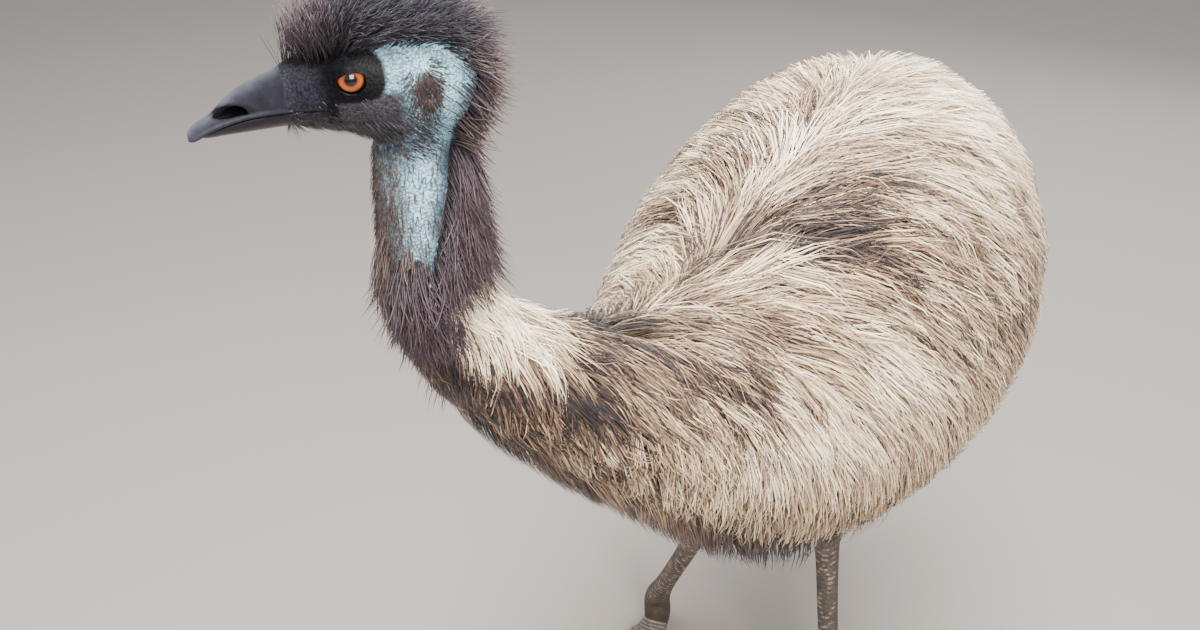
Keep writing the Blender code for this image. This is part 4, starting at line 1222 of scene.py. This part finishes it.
def toe_form(side, name):
    base, heading, across = toe_run(side, name)
    _, length, half = TOES[side][name]
    rings = []
    for k in range(TOE_STEPS + 1):
        far, wide, height = smooth_rows(TOE_PADS, (len(TOE_PADS) - 1) * k / TOE_STEPS)
        centre = base + heading * length * far + Vector((0, 0, (height - TOE_DEPTH) / 2))
        rings.append([centre + across * half * wide * math.cos(a)
                      + Vector((0, 0, (height + TOE_DEPTH) / 2)) * math.sin(a) for a in round_turn(22)])
    return drawn_out("toe", rings)


def saw(value):
    return value - np.floor(value)


def raise_scutes(piece, side):
    """Lifts the scutes out of the smooth skin and returns its markings."""
    points, normals = points_of(piece), points_of(piece, "normal")
    fine, centres, _, fronts, _, _, walked = leg_steps(side, 8.6, 260)
    at = nearest(points, centres)
    down = (walked - np.interp(HOCK, fine, walked))[at]
    facing = (unit(points - centres[at]) * fronts[at]).sum(-1)
    x, y, z = points.T
    # scutes down the front of the shank
    along = saw((down + 0.0016 * np.sin(x * 260)) / SCUTE)
    on_front = step_up(facing, 0.45, 0.62) * step_up(down, 0.010, 0.030) * step_up(z, 0.062, 0.080)
    # scutes over the toes, in arcs round the foot's joint
    low = z < 0.034
    top = step_up(normals[:, 2], 0.25, 0.55) * low
    foot_x, foot_y = LEGS[side][-1][:2]
    toe_along = saw(np.hypot(x - foot_x - SHIFT.x, y - foot_y - SHIFT.y) / TOE_SCUTE)
    lift = (0.0011 * along - 0.0004) * on_front + (0.0010 * toe_along - 0.0004) * top
    # a pale rim is painted along the raised edge of each scute: painted highlight
    rim = 0.75 * np.maximum(near(along, 0.93, 0.09) * on_front, near(toe_along, 0.90, 0.11) * top)[:, None]
    # knobs on the hock
    lumps = np.sin(z * 420) * np.sin(x * 380 + y * 410)
    lift += 0.0007 * lumps * near(down, 0.0, 0.035) * (1 - low)
    move_points(piece, points + normals * lift[:, None])
    front = np.maximum(on_front, top)[:, None]
    paint = (SCALE_SIDE * (1 - front) + SCALE_FRONT * front) * (1 - rim) + SCUTE_RIM_HIGHLIGHT * rim
    # above the hock the skin is painted a dimmed copy of the under-coat buff: painted shade under the coat
    thigh = step_up(-down, 0.02, 0.07)[:, None]
    return paint * (1 - thigh) + UNDER_COAT * 0.35 * thigh


def leg_feathers(name, side, seed, count):
    """Short dark feathers down the thigh, to just above the hock, their dark brown partly their own and partly
    painted shade under the coat.
    """
    rng = np.random.default_rng(seed)
    fine, centres, lefts, fronts, wides, deeps, walked = leg_steps(side, 8, 161)

    def column(table, where):
        return np.stack([np.interp(where, walked, table[:, k]) for k in range(3)], -1)

    end = np.interp(3.05, fine, walked)
    root, angle = rng.uniform(0.02, end, count), rng.uniform(0, 2 * math.pi, count)
    length = rng.uniform(0.040, 0.075, count) * np.interp(root, (0, end), (1.15, 0.62))
    lift = rng.uniform(0.3, 1.0, count) * np.interp(root, (0, end * 0.6, end), (0.018, 0.014, 0.005))
    lean = rng.normal(0, 0.25, count)
    spine, outs, steps = [], [], 3
    for k in range(steps + 1):
        t = k / steps
        where = root + length * t
        turned = angle + lean * t * 0.3
        out = (column(lefts, where) * np.cos(turned)[:, None]
               + column(fronts, where) * np.sin(turned)[:, None])
        reach = (np.interp(where, walked, wides) * np.cos(angle) ** 2
                 + np.interp(where, walked, deeps) * np.sin(angle) ** 2)
        reach += lift * (1 - (1 - t) ** 2) - 0.003 + 0.003 * min(1, 3 * t)
        spine.append(column(centres, where) + out * reach[:, None])
        outs.append(out)
    colours = shaded(rng, count, THIGH, THIGH_TIP, steps, 0.7)
    wide = 0.0021 * rng.uniform(0.7, 1.3, count) / share ** 0.4
    bake = np.stack((0.02 + 0.96 * angle / (2 * math.pi), 0.02 + 0.96 * root / end), -1)
    roll = rng.normal(0, 0.3, count)
    feather_blades(name, np.array(spine), np.array(outs), wide, 0.18 * wide, roll, colours,
                   bake, plume)


# the rim paint is a painted highlight on the raised edges of the scutes
SCALE_SIDE, SCALE_FRONT, SCUTE_RIM_HIGHLIGHT = (
    paint_values(*paint) for paint in ((64, 51, 43), (76, 66, 60), (160, 142, 120)))
# the dark thigh paints are partly the feathers' own brown and partly painted shade under the coat
THIGH, THIGH_TIP, CLAW_ROOT, CLAW_TIP = (
    paint_values(*paint) for paint in ((66, 50, 42), (146, 118, 96), (44, 38, 34), (112, 100, 88)))
scaly = Mix("leg_scales")
scale_edge = scaly.pebbles(230, "DISTANCE_TO_EDGE")
# each scale is painted with a bright band just inside its edge, a painted highlight, and a dark gap round it,
# painted shade
scale_rim_highlight_and_gap_shade = scaly.ramp(scale_edge, (0.0, 0.25), (0.06, 0.60), (0.10, 1.75), (0.35, 0.85))
scaly.finish(scaly.times(scaly.times(scaly.marks, scale_rim_highlight_and_gap_shade, 0.75), scaly.mottled(45, 0.62, 1.20, 6)),
             scaly.mottled(260, 0.45, 0.70),
             scaly.bump(scaly.ramp(scale_edge, (0.0, 0.0), (0.16, 1.0)), 0.6, 0.0009,
                        scaly.bump(scaly.noise(600, 3), 0.25, 0.0004)), 0.4)
claw_horn = Mix("claw_horn")
claw_horn.finish(claw_horn.times(claw_horn.marks, claw_horn.mottled(240, 0.65, 1.5, 5)),
                 claw_horn.mottled(500, 0.32, 0.60),
                 claw_horn.bump(claw_horn.noise(1100, 4), 0.3, 0.0004), 0.45)
for side, seed in (("left", 31), ("right", 32)):
    leg = drawn_out("leg_skin_" + side, [leg_ring(side, at) for at in np.arange(0.0, 11.01, 0.125)])
    fuse(leg, "UNION", [toe_form(side, name) for name in TOES[side]])
    settle(leg, 0.0018, 3)
    keep_colours(leg, raise_scutes(leg, side))
    ground = block("ground", Vector((0, 0, -0.05)),
                   (Vector((1, 0, 0)), Vector((0, 1, 0)), Vector((0, 0, 0.05))))
    fuse(leg, "DIFFERENCE", [ground])
    scaly.cover(leg)
    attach(leg, "root")
    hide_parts("shin_" + side, "shank_" + side, "foot_" + side)
    leg_feathers("thigh_feathers_" + side, side, seed, int(3800 * share))
    for name in TOES[side]:
        base, heading, across = toe_run(side, name)
        _, length, half = TOES[side][name]
        wide, height = TOE_PADS[-1][1] * half, TOE_PADS[-1][2]
        size = CLAW_LENGTH * (1.0 if name == "middle" else 0.82)
        rings = []
        for k in range(CLAW_STEPS + 1):
            step, w, h = smooth_rows(CLAW_SHAPE, (len(CLAW_SHAPE) - 1) * k / CLAW_STEPS)
            tall = height * h / 1.62
            middle = base + heading * (length + size * step)
            rings.append([middle + across * math.cos(a) * wide * w
                          + Vector((0, 0, max(tall * (0.62 + math.sin(a)), 0.0002 + 0.0004 * abs(math.cos(a)))))
                          for a in round_turn(20)])
        claw = drawn_out(f"horn_claw_{name}_{side}", rings)
        out = ((points_of(claw) - np.array(base)) @ np.array(heading) - length) / size
        worn = step_up(out, 0.45, 1.0)[:, None]
        keep_colours(claw, CLAW_ROOT * (1 - worn) + CLAW_TIP * worn)
        claw_horn.cover(claw)
        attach(claw, "root")
        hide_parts(f"claw_{name}_{side}")
